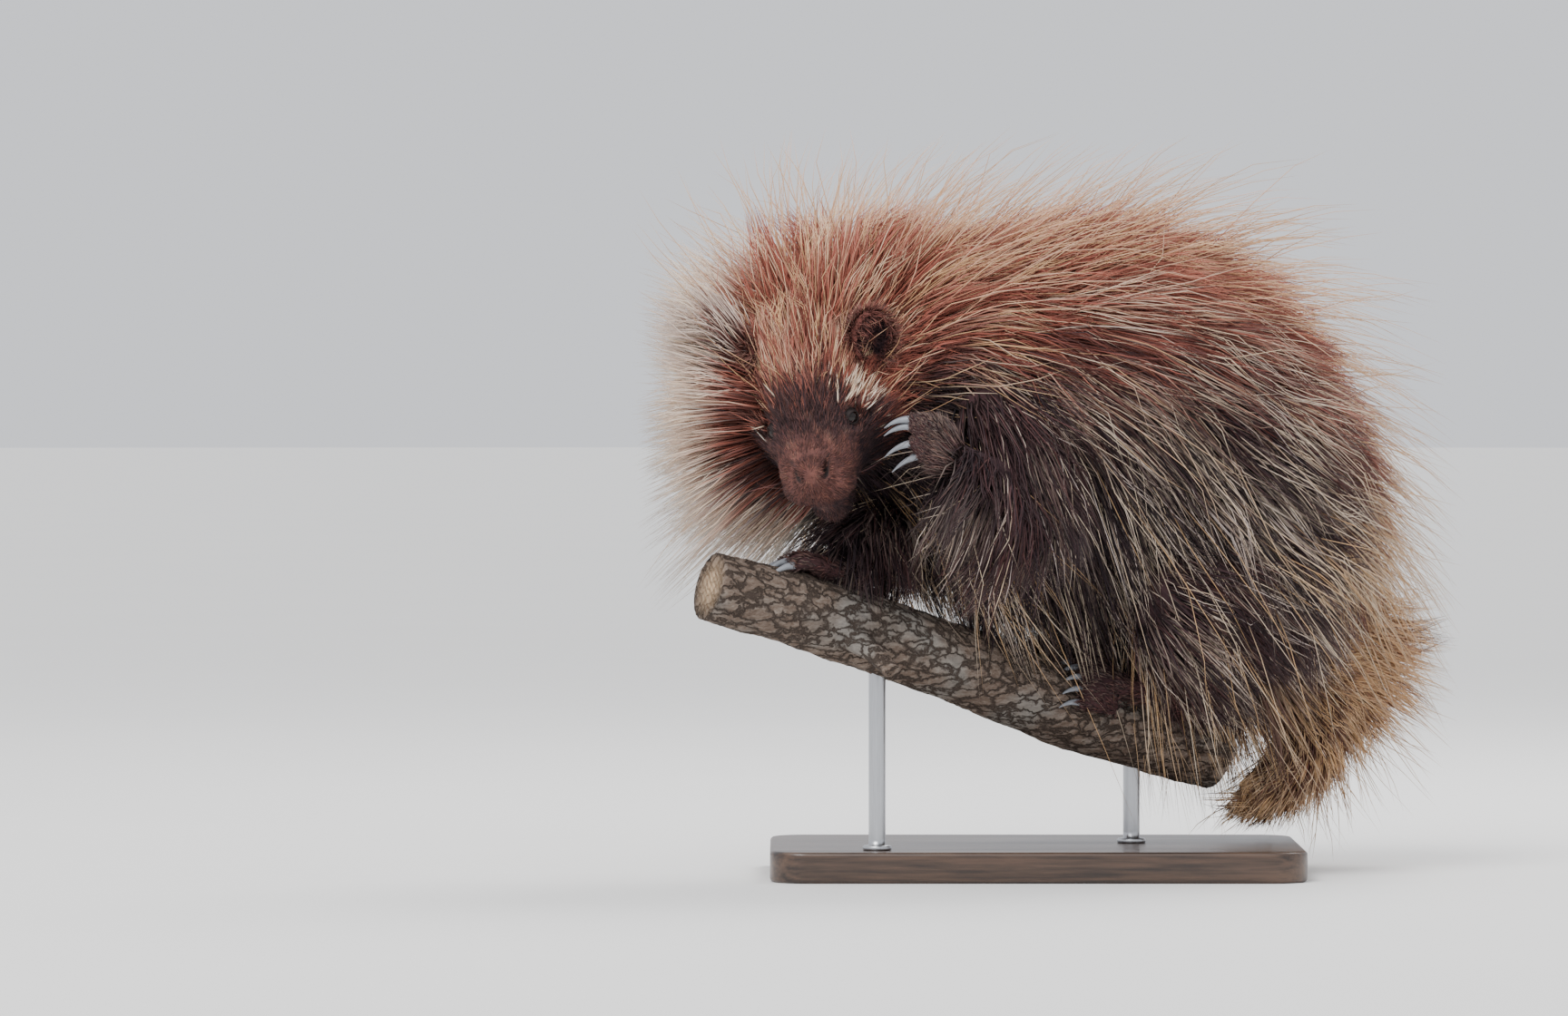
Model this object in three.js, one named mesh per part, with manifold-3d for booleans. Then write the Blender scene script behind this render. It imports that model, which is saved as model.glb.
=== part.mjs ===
// A North American porcupine in its winter coat, life size, hunched on a short cut length of branch
// that a flat base and two rods hold up. It faces -X and turns its head towards -Y. Millimetres, +Z up.
// The flesh is lofted along its own lines. A core of underfur covers it, and flat, tapered locks of
// guard hair and single quills grow out of that core along the lie of the coat.
import * as THREE from "three";
import { mergeVertices } from "three/addons/utils/BufferGeometryUtils.js";
import Module from "manifold-3d";

const wasm = await Module();
wasm.setup();

// Driving dimensions
const GAP = 0.3; // the gap that touching pieces keep
const HEADING = 28; // degrees that the trunk is turned from -X towards -Y
const COAT_CORE = 0.5; // share of the coat's reach that the solid core takes
const BACK_REACH = 76; // how far the coat stands off the skin along the back
const SIDE_REACH = 50; // the same on the flanks
const BELLY_REACH = 20; // the same below
const HEAD_CENTRE = [-135, -140, 327];
const HEAD_FORWARD = [-0.12, -0.86, -0.5];
const HEAD_LEFT = [0.953, -0.241, 0.186];
const EYE_RADIUS = 6;
const ROOT_DEPTH = 7; // how deep the locks and quills are rooted in the core
const BRANCH_RADIUS = 28;
const BASE = { length: 380, width: 230, thick: 22, corner: 26, edge: 2, x: 20, y: 2 };
const ROD_RADIUS = 6;

// Small maths
const vec = (a) => new THREE.Vector3(...a);
const radians = THREE.MathUtils.degToRad;
const clamp = THREE.MathUtils.clamp;
const mix = THREE.MathUtils.lerp;
const ramp = THREE.MathUtils.smoothstep;

// A start plus directions, each with its own length
function plus(start, ...steps) {
  return steps.reduce((p, [direction, far]) => p.addScaledVector(direction, far), start.clone());
}

// A seeded random number from 0 to 1
function randomFrom(seed) {
  let state = seed;
  return () => {
    state = (state + 0x6d2b79f5) | 0;
    let t = Math.imul(state ^ (state >>> 15), 1 | state);
    t = (t + Math.imul(t ^ (t >>> 7), 61 | t)) ^ t;
    return ((t ^ (t >>> 14)) >>> 0) / 4294967296;
  };
}

// One number along a smooth curve through evenly counted values
function through(values, u) {
  const last = values.length - 1;
  const i = Math.min(Math.floor(u), last - 1);
  const t = u - i;
  const at = (k) => values[clamp(k, 0, last)];
  const [a, b, c, d] = [at(i - 1), at(i), at(i + 1), at(i + 2)];
  const slopeB = (c - a) / 2;
  const slopeC = (d - b) / 2;
  const t2 = t * t;
  const t3 = t2 * t;
  return (2 * t3 - 3 * t2 + 1) * b + (t3 - 2 * t2 + t) * slopeB + (3 * t2 - 2 * t3) * c + (t3 - t2) * slopeC;
}

// Solids
function solidOf(geometry) {
  const bare = new THREE.BufferGeometry();
  bare.setAttribute("position", geometry.getAttribute("position"));
  if (geometry.index) bare.setIndex(geometry.index);
  const merged = mergeVertices(bare, 1e-4);
  const triVerts = new Uint32Array(merged.index.array);
  const mesh = () =>
    new wasm.Mesh({ numProp: 3, vertProperties: merged.attributes.position.array, triVerts });
  const made = new wasm.Manifold(mesh());
  if (made.volume() >= 0) return made;
  for (let i = 0; i < triVerts.length; i += 3) {
    [triVerts[i + 1], triVerts[i + 2]] = [triVerts[i + 2], triVerts[i + 1]];
  }
  return new wasm.Manifold(mesh());
}

const join = (solids) => wasm.Manifold.union(solids);
const cut = (solid, tools) => (tools.length ? solid.subtract(join(tools)) : solid);

// The largest closed surface of a solid, without loose scraps or sealed hollows
function largest(solid) {
  const pieces = solid.decompose();
  return pieces.reduce((best, piece) => (piece.volume() > best.volume() ? piece : best));
}

function meshOf(solid, name, { color, roughness, metalness = 0 }) {
  const { numProp, numVert, vertProperties, triVerts } = solid.getMesh();
  const points = new Float32Array(numVert * 3);
  for (let i = 0; i < numVert; i += 1) {
    points.set(vertProperties.subarray(i * numProp, i * numProp + 3), i * 3);
  }
  const geometry = new THREE.BufferGeometry();
  geometry.setAttribute("position", new THREE.BufferAttribute(points, 3));
  geometry.setIndex(new THREE.BufferAttribute(triVerts, 1));
  geometry.computeVertexNormals();
  const mesh = new THREE.Mesh(geometry, new THREE.MeshStandardMaterial({ color, roughness, metalness }));
  mesh.name = name;
  return mesh;
}

// A closed surface from rings of points, each a list of the same length, between two end points
function closedRings(rings, first, last) {
  const sides = rings[0].length;
  const points = [first, ...rings.flat(), last];
  const index = [];
  const at = (ring, side) => 1 + ring * sides + (side % sides);
  for (let side = 0; side < sides; side += 1) {
    index.push(0, at(0, side + 1), at(0, side));
    index.push(points.length - 1, at(rings.length - 1, side), at(rings.length - 1, side + 1));
    for (let ring = 0; ring + 1 < rings.length; ring += 1) {
      const [a, b] = [at(ring, side), at(ring, side + 1)];
      const [c, d] = [at(ring + 1, side), at(ring + 1, side + 1)];
      index.push(a, b, d, a, d, c);
    }
  }
  const geometry = new THREE.BufferGeometry();
  geometry.setAttribute("position", new THREE.Float32BufferAttribute(points.flatMap((p) => p.toArray()), 3));
  geometry.setIndex(index);
  return geometry;
}

// A body part lofted along a line. Each station holds its middle, a hint of the way to its left side,
// and its half sizes to the side, to the top and below. Hair lies towards the last station.
// reach says how deep the coat is at a place along the part and an angle from its top.
class Loft {
  constructor(stations, reach = () => 0) {
    this.stations = stations;
    this.reach = reach;
  }

  frame(v) {
    const u = clamp(v, 0, 1) * (this.stations.length - 1);
    const value = (key, i) => through(this.stations.map((s) => (i === undefined ? s[key] : s[key][i])), u);
    const vector = (key) => new THREE.Vector3(value(key, 0), value(key, 1), value(key, 2));
    const step = 0.02;
    const place = (w) => {
      const inside = clamp(w, 0, this.stations.length - 1);
      return vec([0, 1, 2].map((i) => through(this.stations.map((s) => s.at[i]), inside)));
    };
    const along = place(u + step).sub(place(u - step)).normalize();
    const left = vector("left");
    left.addScaledVector(along, -left.dot(along)).normalize();
    const up = new THREE.Vector3().crossVectors(left, along);
    return { at: vector("at"), along, left, up, wide: value("wide"), top: value("top"), low: value("low") };
  }

  // The point at an angle from the top, positive to the left, grown outwards
  point(v, angle, grow = 0) {
    const f = this.frame(v);
    const high = (Math.cos(angle) > 0 ? f.top : f.low) + grow;
    return f.at
      .addScaledVector(f.up, Math.cos(angle) * high)
      .addScaledVector(f.left, Math.sin(angle) * (f.wide + grow));
  }

  coreDepth(v, angle) {
    return this.reach(v, angle) * COAT_CORE;
  }

  // Where a hair roots: the core's surface, its outward normal and the way the coat lies
  rootAt(v, angle) {
    const on = (w, a) => this.point(w, a, this.coreDepth(w, a));
    const [dv, da] = [0.01, 0.03];
    const along = on(v + dv, angle).sub(on(v - dv, angle)).normalize();
    const around = on(v, angle + da).sub(on(v, angle - da)).normalize();
    const out = new THREE.Vector3().crossVectors(around, along).normalize();
    const at = on(v, angle);
    if (out.dot(at.clone().sub(this.frame(v).at)) < 0) out.negate();
    return { at, out, along, around };
  }

  // The closed solid from one place to another, with a dome of the given length on each open end
  solid(options) {
    const { from = 0, to = 1, rings, sides, grow = 0, domeFrom = 0, domeTo = 0, domeSteps = [50] } = options;
    const made = [];
    const ring = (v, size, shift) => {
      const f = this.frame(v);
      return Array.from({ length: sides }, (_, k) => {
        const angle = (2 * Math.PI * k) / sides;
        const p = this.point(v, angle, this.coreDepth(v, angle) + grow);
        return p.sub(f.at).multiplyScalar(size).add(f.at).addScaledVector(f.along, shift);
      });
    };
    const end = (v, shift) => this.frame(v).at.addScaledVector(this.frame(v).along, shift);
    if (domeFrom) {
      for (const a of [...domeSteps].reverse()) {
        made.push(ring(from, Math.cos(radians(a)), -(domeFrom + grow) * Math.sin(radians(a))));
      }
    }
    for (let i = 0; i <= rings; i += 1) made.push(ring(mix(from, to, i / rings), 1, 0));
    if (domeTo) {
      for (const a of domeSteps) {
        made.push(ring(to, Math.cos(radians(a)), (domeTo + grow) * Math.sin(radians(a))));
      }
    }
    const first = end(from, domeFrom ? -(domeFrom + grow) : 0);
    const last = end(to, domeTo ? domeTo + grow : 0);
    return solidOf(closedRings(made, first, last));
  }
}

// A rounded lump with its three axes along given directions
function ellipsoid(centre, radii, [ax, ay, az], grow = 0, across = 12, down = 8) {
  const geometry = new THREE.SphereGeometry(1, across, down);
  const [rx, ry, rz] = radii.map((r) => r + grow);
  const basis = new THREE.Matrix4().makeBasis(
    ax.clone().multiplyScalar(rx),
    ay.clone().multiplyScalar(ry),
    az.clone().multiplyScalar(rz),
  );
  basis.setPosition(centre);
  return solidOf(geometry.applyMatrix4(basis));
}

// A round rod that follows points, each with its own radius, closed by a point or a flat at each end
function taperedRod(points, radii, sides = 6) {
  const curve = new THREE.CatmullRomCurve3(points, false, "centripetal");
  const count = radii.length;
  const side = new THREE.Vector3(0.31, 0.52, 0.8);
  const rings = radii.map((radius, i) => {
    const t = i / (count - 1);
    const [at, along] = [curve.getPoint(t), curve.getTangent(t)];
    const a = new THREE.Vector3().crossVectors(along, side).normalize();
    const b = new THREE.Vector3().crossVectors(along, a);
    return Array.from({ length: sides }, (_, k) => {
      const angle = (2 * Math.PI * k) / sides;
      return plus(at, [a, Math.cos(angle) * radius], [b, Math.sin(angle) * radius]);
    });
  });
  return solidOf(closedRings(rings, points[0], points[points.length - 1]));
}

// The way to the left of something that faces a heading in degrees, turned from -X towards -Y
function leftOf(heading) {
  return [Math.sin(radians(heading)), -Math.cos(radians(heading)), 0];
}

// Trunk: neck and torso
const trunkLeft = leftOf(HEADING);
const trunkStations = [
  { at: [-124, -108, 352], left: leftOf(72), wide: 42, top: 36, low: 54 },
  { at: [-98, -76, 360], left: leftOf(52), wide: 50, top: 46, low: 62 },
  { at: [-46, -46, 360], left: leftOf(34), wide: 62, top: 58, low: 74 },
  { at: [20, -18, 362], left: trunkLeft, wide: 76, top: 68, low: 86 },
  { at: [85, 16, 353], left: trunkLeft, wide: 84, top: 74, low: 92 },
  { at: [138, 44, 302], left: trunkLeft, wide: 84, top: 70, low: 88 },
  { at: [164, 59, 234], left: trunkLeft, wide: 74, top: 60, low: 78 },
  { at: [184, 69, 180], left: trunkLeft, wide: 44, top: 34, low: 46 },
];
const NECK_END = 0.2; // where along the trunk the neck meets the torso

// The coat's depth goes from the back's to the belly's, and is shallower beside the face
function trunkReach(v, angle) {
  const up = Math.cos(angle);
  const deep = up > 0 ? mix(SIDE_REACH, BACK_REACH, up) : mix(SIDE_REACH, BELLY_REACH, -up);
  const ruff = 26 * Math.max(-Math.sin(angle), 0) * (1 - ramp(v, 0.08, 0.28));
  return deep * mix(0.55, 1, ramp(v, 0, 0.3)) * mix(1, 0.75, ramp(v, 0.85, 1)) + ruff;
}
const trunk = new Loft(trunkStations, trunkReach);
const trunkLength = 430;
const cutShare = GAP / trunkLength;
const domeSteps = [35, 65];
const neckSolid = (grow) =>
  trunk.solid({ to: NECK_END - cutShare, rings: 4, sides: 18, grow, domeFrom: 18, domeSteps });
const torsoSolid = (grow) =>
  trunk.solid({ from: NECK_END, rings: 12, sides: 20, grow, domeTo: 22, domeSteps });

// Head
const headForward = vec(HEAD_FORWARD).normalize();
const headLeft = vec(HEAD_LEFT).addScaledVector(headForward, -vec(HEAD_LEFT).dot(headForward)).normalize();
const headUp = new THREE.Vector3().crossVectors(headForward, headLeft);
const headAxes = [headForward, headLeft, headUp];
const inHead = (x, y, z) =>
  vec(HEAD_CENTRE).addScaledVector(headForward, x).addScaledVector(headLeft, y).addScaledVector(headUp, z);

// From the nose back to the nape, in the head's own frame: x forward, middle height and half sizes
const headProfile = [
  { x: 60, z: -16, wide: 19, top: 15, low: 18 },
  { x: 51, z: -16, wide: 25, top: 21, low: 26 },
  { x: 37, z: -12, wide: 28, top: 25, low: 34 },
  { x: 20, z: -6, wide: 34, top: 31, low: 41 },
  { x: 0, z: -2, wide: 40, top: 36, low: 43 },
  { x: -22, z: 0, wide: 40, top: 38, low: 41 },
  { x: -44, z: 3, wide: 33, top: 33, low: 33 },
];
function headReach(v, angle) {
  const up = Math.cos(angle);
  const behindEyes = ramp(v, 0.4, 0.8);
  return behindEyes * (up > 0 ? mix(30, 44, up) : mix(30, 14, -up));
}
const headStations = headProfile.map(({ x, z, ...sizes }) => {
  return { at: inHead(x, 0, z).toArray(), left: headLeft.toArray(), ...sizes };
});
const headLoft = new Loft(headStations, headReach);
const EYE = { x: 22, y: 28, z: 9 };
const eyeCentre = (side) => inHead(EYE.x, side * EYE.y, EYE.z);
const eyeOut = (side) =>
  plus(new THREE.Vector3(), [headLeft, side * 0.8], [headForward, 0.57], [headUp, 0.15]).normalize();
const ball = (centre, radius, across, down) =>
  ellipsoid(centre, [radius, radius, radius], headAxes, 0, across, down);
const eyeSolid = (side, grow = 0) => ball(eyeCentre(side), EYE_RADIUS + grow, 9, 7);

// The head's flesh: a loft with the nose, the whisker pads and the chin on it
function headFlesh(grow) {
  const lump = (x, y, z, radii) => ellipsoid(inHead(x, y, z), radii, headAxes, grow, 8, 5);
  return join([
    headLoft.solid({ rings: 8, sides: 14, grow, domeFrom: 6, domeTo: 16 }),
    lump(61, 0, -4, [7, 12, 9]),
    lump(50, 12, -22, [15, 14, 12]),
    lump(50, -12, -22, [15, 14, 12]),
    lump(34, 0, -42, [20, 15, 13]),
  ]);
}

// The rim of the lids, which stands out round the eye
function lidRim(side) {
  const rim = new THREE.TorusGeometry(EYE_RADIUS + 0.3, 1.8, 4, 9);
  rim.lookAt(eyeOut(side));
  const place = eyeCentre(side).addScaledVector(eyeOut(side), 2.4);
  return solidOf(rim.translate(place.x, place.y, place.z));
}

// The head with eye sockets, lids, nostrils, mouth and the cleft under the nose
function headSolid() {
  const socket = (side) => ball(eyeCentre(side).addScaledVector(eyeOut(side), 7), 9, 8, 5);
  const shaped = cut(headFlesh(0), [socket(1), socket(-1), ...headCuts()]);
  return join([shaped, lidRim(1), lidRim(-1)]);
}

// Nostrils, the line of the mouth and the cleft under the nose are cut into the head
function headCuts() {
  const nostril = (side) => {
    const inner = inHead(58, side * 5, -5);
    const outer = inHead(69, side * 10.5, -2);
    return taperedRod([inner, outer], [1.2, 3.4], 6);
  };
  const lipLine = [
    [34, 28, -33],
    [52, 21, -35],
    [63, 10, -33],
    [66, 0, -32],
  ];
  const mirrored = lipLine.slice(0, -1).reverse();
  const points = [...lipLine, ...mirrored.map(([x, y, z]) => [x, -y, z])].map((p) => inHead(...p));
  const mouth = taperedRod(points, Array(9).fill(1.5), 4);
  const cleft = taperedRod([inHead(70, 0, -10), inHead(67, 0, -31)], [1.1, 1.1], 4);
  return [nostril(1), nostril(-1), mouth, cleft];
}

// An ear is a cup that opens forwards and outwards
function earSolid(side, grow = 0) {
  const out = headForward.clone().multiplyScalar(0.72).addScaledVector(headLeft, side * 0.66).normalize();
  const tall = headUp.clone().addScaledVector(headLeft, side * 0.35);
  tall.addScaledVector(out, -tall.dot(out)).normalize();
  const across = new THREE.Vector3().crossVectors(tall, out);
  const axes = [out, across, tall];
  const centre = inHead(-26, side * 47, 42);
  const outer = ellipsoid(centre, [12, 17, 20], axes, grow, 10, 8);
  const inner = ellipsoid(centre.clone().addScaledVector(out, 9), [15, 14.5, 17.5], axes, 0, 9, 7);
  return cut(outer, [inner]);
}

// The coat. A lock is a flat blade with a ridge, which leaves the core at its lift, bends back towards
// the lie and narrows to a point. turn swings it round its root, sag lets it hang, grow fattens it.
function lockSolid(root, { length, wide, thick, lift, bend = 20, turn = 0, sag = 0, grow = 0 }) {
  const swing = radians(turn);
  const lie = plus(new THREE.Vector3(), [root.along, Math.cos(swing)], [root.around, Math.sin(swing)]);
  lie.addScaledVector(root.out, -lie.dot(root.out)).normalize();
  const side = new THREE.Vector3().crossVectors(root.out, lie);
  const sunk = ROOT_DEPTH / Math.sin(radians(Math.max(lift, 25)));
  const place = (s) => {
    const angle = radians(lift - (bend * Math.max(s, 0)) / 2);
    const far = s > 0 ? s * (length + grow) : s * sunk;
    const p = plus(root.at, [lie, Math.cos(angle) * far], [root.out, Math.sin(angle) * far]);
    p.z -= s > 0 ? sag * s * s * length : 0;
    return p;
  };
  const ring = (s, across, deep) => {
    const along = place(s + 0.02).sub(place(s - 0.02)).normalize();
    const normal = new THREE.Vector3().crossVectors(along, side).normalize();
    const half = (wide * across) / 2 + 4 * grow;
    const under = -0.4 * thick * deep - grow;
    return [
      place(s).addScaledVector(side, half).addScaledVector(normal, under),
      place(s).addScaledVector(normal, 0.6 * thick * deep + 2 * grow),
      place(s).addScaledVector(side, -half).addScaledVector(normal, under),
    ];
  };
  const rings = [ring(-1, 0.5, 0.8), ring(0.42, 1, 1)];
  return solidOf(closedRings(rings, place(-1), place(1)));
}

// A quill is a thin three-sided spine
function quillSolid(root, { length, thick, lift, turn = 0, grow = 0 }) {
  const swing = radians(turn);
  const tilt = radians(lift);
  const lie = plus(new THREE.Vector3(), [root.along, Math.cos(swing)], [root.around, Math.sin(swing)]);
  const along = plus(new THREE.Vector3(), [lie, Math.cos(tilt)], [root.out, Math.sin(tilt)]).normalize();
  const foot = root.at.clone().addScaledVector(along, -ROOT_DEPTH);
  const tip = root.at.clone().addScaledVector(along, length + grow);
  return taperedRod([foot, tip], [thick / 2 + grow, thick / 2 + grow, 0.3 + grow], 3);
}

// Roots thrown at random over a loft, no two closer than the spacing there
function scatter(loft, [from, to], { spacing, seed, tries = 2000, keep = () => true }) {
  const random = randomFrom(seed);
  const roots = [];
  for (let i = 0; i < tries; i += 1) {
    const v = mix(from, to, random());
    const angle = mix(-Math.PI, Math.PI, random());
    const vary = random() * 2 - 1;
    const root = loft.rootAt(v, angle);
    const near = spacing * mix(0.85, 1.2, (1 + Math.cos(angle)) / 2);
    if (keep(v, angle) && roots.every((other) => other.at.distanceTo(root.at) > near)) {
      roots.push({ ...root, v, angle, vary });
    }
  }
  return roots;
}

// Obstacles are the fattened solids of the other nodes: [node name, solid, its box]
const obstacles = [];
function addObstacle(name, solid) {
  obstacles.push([name, solid, solid.boundingBox()]);
}
function isClear(name, solid) {
  const box = solid.boundingBox();
  return obstacles.every(([owner, other, otherBox]) => {
    const apart = [0, 1, 2].some((i) => box.min[i] > otherBox.max[i] || box.max[i] < otherBox.min[i]);
    return owner === name || apart || solid.intersect(other).volume() === 0;
  });
}

// Grows one hair from each root. One that would cross another node is raised and shortened in steps,
// and left out where even that doesn't clear it.
const RAISES = [
  [0, 1],
  [12, 1],
  [26, 0.85],
  [40, 0.7],
];
function grow(name, roots, shapeOf, makeSolid = lockSolid) {
  const grown = [];
  for (const root of roots) {
    const shape = shapeOf(root);
    for (const [raise, shorten] of shape ? RAISES : []) {
      const tried = { ...shape, lift: Math.min(shape.lift + raise, 86), length: shape.length * shorten };
      const fat = makeSolid(root, { ...tried, grow: GAP });
      if (isClear(name, fat)) {
        grown.push(makeSolid(root, tried));
        addObstacle(name, fat);
        break;
      }
    }
  }
  return grown;
}

// Branch, rods and base
const branchStations = [
  { at: [-212, -134, 210], wide: 25 },
  { at: [-135, -100, 188], wide: 27 },
  { at: [-40, -56, 154], wide: 28 },
  { at: [50, -10, 117], wide: 29 },
  { at: [150, 42, 88], wide: 30 },
].map((s) => ({ ...s, left: trunkLeft, top: s.wide, low: s.wide }));
const branch = new Loft(branchStations);
const branchAt = (v, angle, height) => branch.point(v, radians(angle), height);
const TWIGS = [
  { v: 0.3, angle: 118, length: 34, radius: 6 },
  { v: 0.62, angle: -75, length: 44, radius: 8 },
  { v: 0.9, angle: 95, length: 26, radius: 5 },
];
function branchSolid(grow) {
  const twigs = TWIGS.map(({ v, angle, length, radius }) => {
    const foot = branchAt(v, angle, -8);
    const tip = branchAt(v + 0.05, angle, length);
    return taperedRod([foot, tip], [radius * 1.5 + grow, radius + grow], 6);
  });
  return join([branch.solid({ rings: 8, sides: 12, grow }), ...twigs]);
}

function baseSolid() {
  const { length, width, thick, corner, edge, x, y } = BASE;
  const [hx, hy] = [length / 2 - edge, width / 2 - edge];
  const outline = new THREE.Shape();
  outline.moveTo(hx - corner, -hy);
  outline.absarc(hx - corner, -hy + corner, corner, -Math.PI / 2, 0);
  outline.absarc(hx - corner, hy - corner, corner, 0, Math.PI / 2);
  outline.absarc(-hx + corner, hy - corner, corner, Math.PI / 2, Math.PI);
  outline.absarc(-hx + corner, -hy + corner, corner, Math.PI, 1.5 * Math.PI);
  const slab = new THREE.ExtrudeGeometry(outline, {
    depth: thick - 2 * edge,
    bevelSize: edge,
    bevelThickness: edge,
    bevelSegments: 1,
    curveSegments: 3,
  });
  slab.translate(x, y, edge);
  return solidOf(slab);
}

function rodSolid(v) {
  const top = branch.frame(v).at;
  const bottom = BASE.thick + GAP;
  const rod = new THREE.CylinderGeometry(ROD_RADIUS, ROD_RADIUS, top.z - bottom, 14);
  rod.rotateX(Math.PI / 2);
  rod.translate(top.x, top.y, (top.z + bottom) / 2);
  return cut(solidOf(rod), [branchSolid(GAP)]);
}

// Limbs. A limb's coat is as deep all round, and thins out towards the paw.
const limbReach = (deep) => (v) => deep * mix(1, 0.4, v);
function limb(from, to, left, sizes, deep) {
  const stations = sizes.map(([wide, thick], i) => ({
    at: vec(from).lerp(vec(to), i / (sizes.length - 1)).toArray(),
    left,
    wide,
    top: thick,
    low: thick,
  }));
  return new Loft(stations, limbReach(deep));
}
const JOINTS = {
  left: {
    shoulder: [-12, -98, 338],
    elbow: [14, -124, 266],
    wrist: [-40, -156, 299],
    hip: [182, 8, 222],
    knee: [108, -52, 192],
    ankle: [150, 0, 142],
  },
  right: {
    shoulder: [-70, 8, 336],
    elbow: [-76, -16, 262],
    wrist: [-113, -80, 241],
    hip: [140, 96, 220],
    knee: [50, 78, 190],
    ankle: [104, 62, 134],
  },
};
const HAIR = { upperArm: 20, forearm: 14, thigh: 20, shank: 12 };
function limbLofts(side) {
  const j = JOINTS[side];
  const left = trunkLeft;
  return {
    upperArm: limb(j.shoulder, j.elbow, left, [[27, 32], [27, 29], [20, 22]], HAIR.upperArm),
    forearm: limb(j.elbow, j.wrist, left, [[17, 19], [16, 17], [12, 12]], HAIR.forearm),
    thigh: limb(j.hip, j.knee, left, [[34, 50], [36, 46], [24, 27]], HAIR.thigh),
    shank: limb(j.knee, j.ankle, left, [[20, 22], [18, 21], [13, 14]], HAIR.shank),
  };
}
const limbs = { left: limbLofts("left"), right: limbLofts("right") };
const limbSolid = (loft, grow) => loft.solid({ rings: 4, sides: 10, grow, domeFrom: 14, domeTo: 12 });

// Paws. The palm is a short loft, and each toe is a curved rod that narrows into its claw.
function toe(base, knuckle, tip, claw, { thick, clawLong, clawThick }) {
  const along = claw.clone().normalize();
  const onClaw = (far, drop) => tip.clone().addScaledVector(along, far).add(vec([0, 0, -drop]));
  const points = [
    base,
    knuckle,
    tip,
    onClaw(1.2, 0),
    onClaw(clawLong * 0.55, clawLong * 0.08),
    onClaw(clawLong * 0.92, clawLong * 0.42),
  ];
  return taperedRod(points, [thick * 1.05, thick, thick * 0.8, clawThick, clawThick * 0.75, 0.35], 4);
}

const FORE = { toes: 4, thick: 5, clawLong: 22, clawThick: 2.6 };
const HIND = { toes: 5, thick: 5.4, clawLong: 20, clawThick: 2.8 };
const grown = (kind, grow) => ({ ...kind, thick: kind.thick + grow, clawThick: kind.clawThick + grow });

// The raised left hand: the palm faces the cheek and the fingers reach for it
function raisedHand(grow) {
  const wrist = vec(JOINTS.left.wrist);
  const knuckles = vec([-58, -163, 312]);
  const fan = new THREE.Vector3(0.45, -0.25, 0.86);
  const palm = new Loft(
    [
      { at: wrist.toArray(), left: trunkLeft, wide: 11, top: 12, low: 12 },
      { at: wrist.clone().lerp(knuckles, 0.55).toArray(), left: trunkLeft, wide: 9, top: 16, low: 15 },
      { at: knuckles.toArray(), left: trunkLeft, wide: 8, top: 15, low: 15 },
    ],
  ).solid({ rings: 3, sides: 8, grow, domeFrom: 5, domeTo: 6 });
  const pieces = [palm];
  for (let i = 0; i < FORE.toes; i += 1) {
    const spread = (i - 1.5) * 8.4;
    const base = knuckles.clone().addScaledVector(fan, spread).add(vec([3, 0, 0]));
    const knuckle = base.clone().add(vec([-11, -5, 6]));
    const tip = knuckle.clone().add(vec([-8, 3, -1 + 0.15 * spread]));
    const claw = vec([-1, 0.16, 0.05 + 0.012 * spread]);
    pieces.push(toe(base, knuckle, tip, claw, grown(FORE, grow)));
  }
  return join(pieces);
}

// A paw that grips the branch: a sole along it and toes that curl over its top
function grippingPaw({ heelV, toeV, angle, ankle, kind, grow }) {
  const sole = [0, 0.5, 1].map((t) => {
    const high = mix(10, 8, t);
    const at = branchAt(mix(heelV, toeV, t), angle, high - 2);
    return { at: at.toArray(), left: trunkLeft, wide: mix(12, 17, t), top: high, low: high };
  });
  const foot = new Loft(sole).solid({ rings: 3, sides: 8, grow, domeFrom: 10, domeTo: 6 });
  const heel = branchAt(mix(heelV, toeV, 0.12), angle, 9);
  const tarsus = taperedRod([ankle, heel], [13 + grow, 12 + grow, 11 + grow], 7);
  const pieces = [foot, tarsus];
  const step = Math.sign(toeV - heelV);
  for (let i = 0; i < kind.toes; i += 1) {
    const spread = (i - (kind.toes - 1) / 2) * (15 + 3 * (5 - kind.toes));
    const at = (along, high, turn) => branchAt(toeV + step * along, angle + spread * turn, high);
    const [base, knuckle, tip] = [at(-0.01, 7, 1), at(0.025, 9.5, 1.1), at(0.05, 5, 1.2)];
    const claw = at(0.1, 1.5, 1.25).sub(tip);
    pieces.push(toe(base, knuckle, tip, claw, grown(kind, grow)));
  }
  return join(pieces);
}
const rightHand = (grow) =>
  grippingPaw({ heelV: 0.31, toeV: 0.22, angle: -8, ankle: vec(JOINTS.right.wrist), kind: FORE, grow });
const hindFoot = (side, grow) => {
  const near = side === "left";
  const place = near ? { heelV: 0.93, toeV: 0.76, angle: 50 } : { heelV: 0.86, toeV: 0.69, angle: -48 };
  return grippingPaw({ ...place, ankle: vec(JOINTS[side].ankle), kind: HIND, grow });
};

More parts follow.
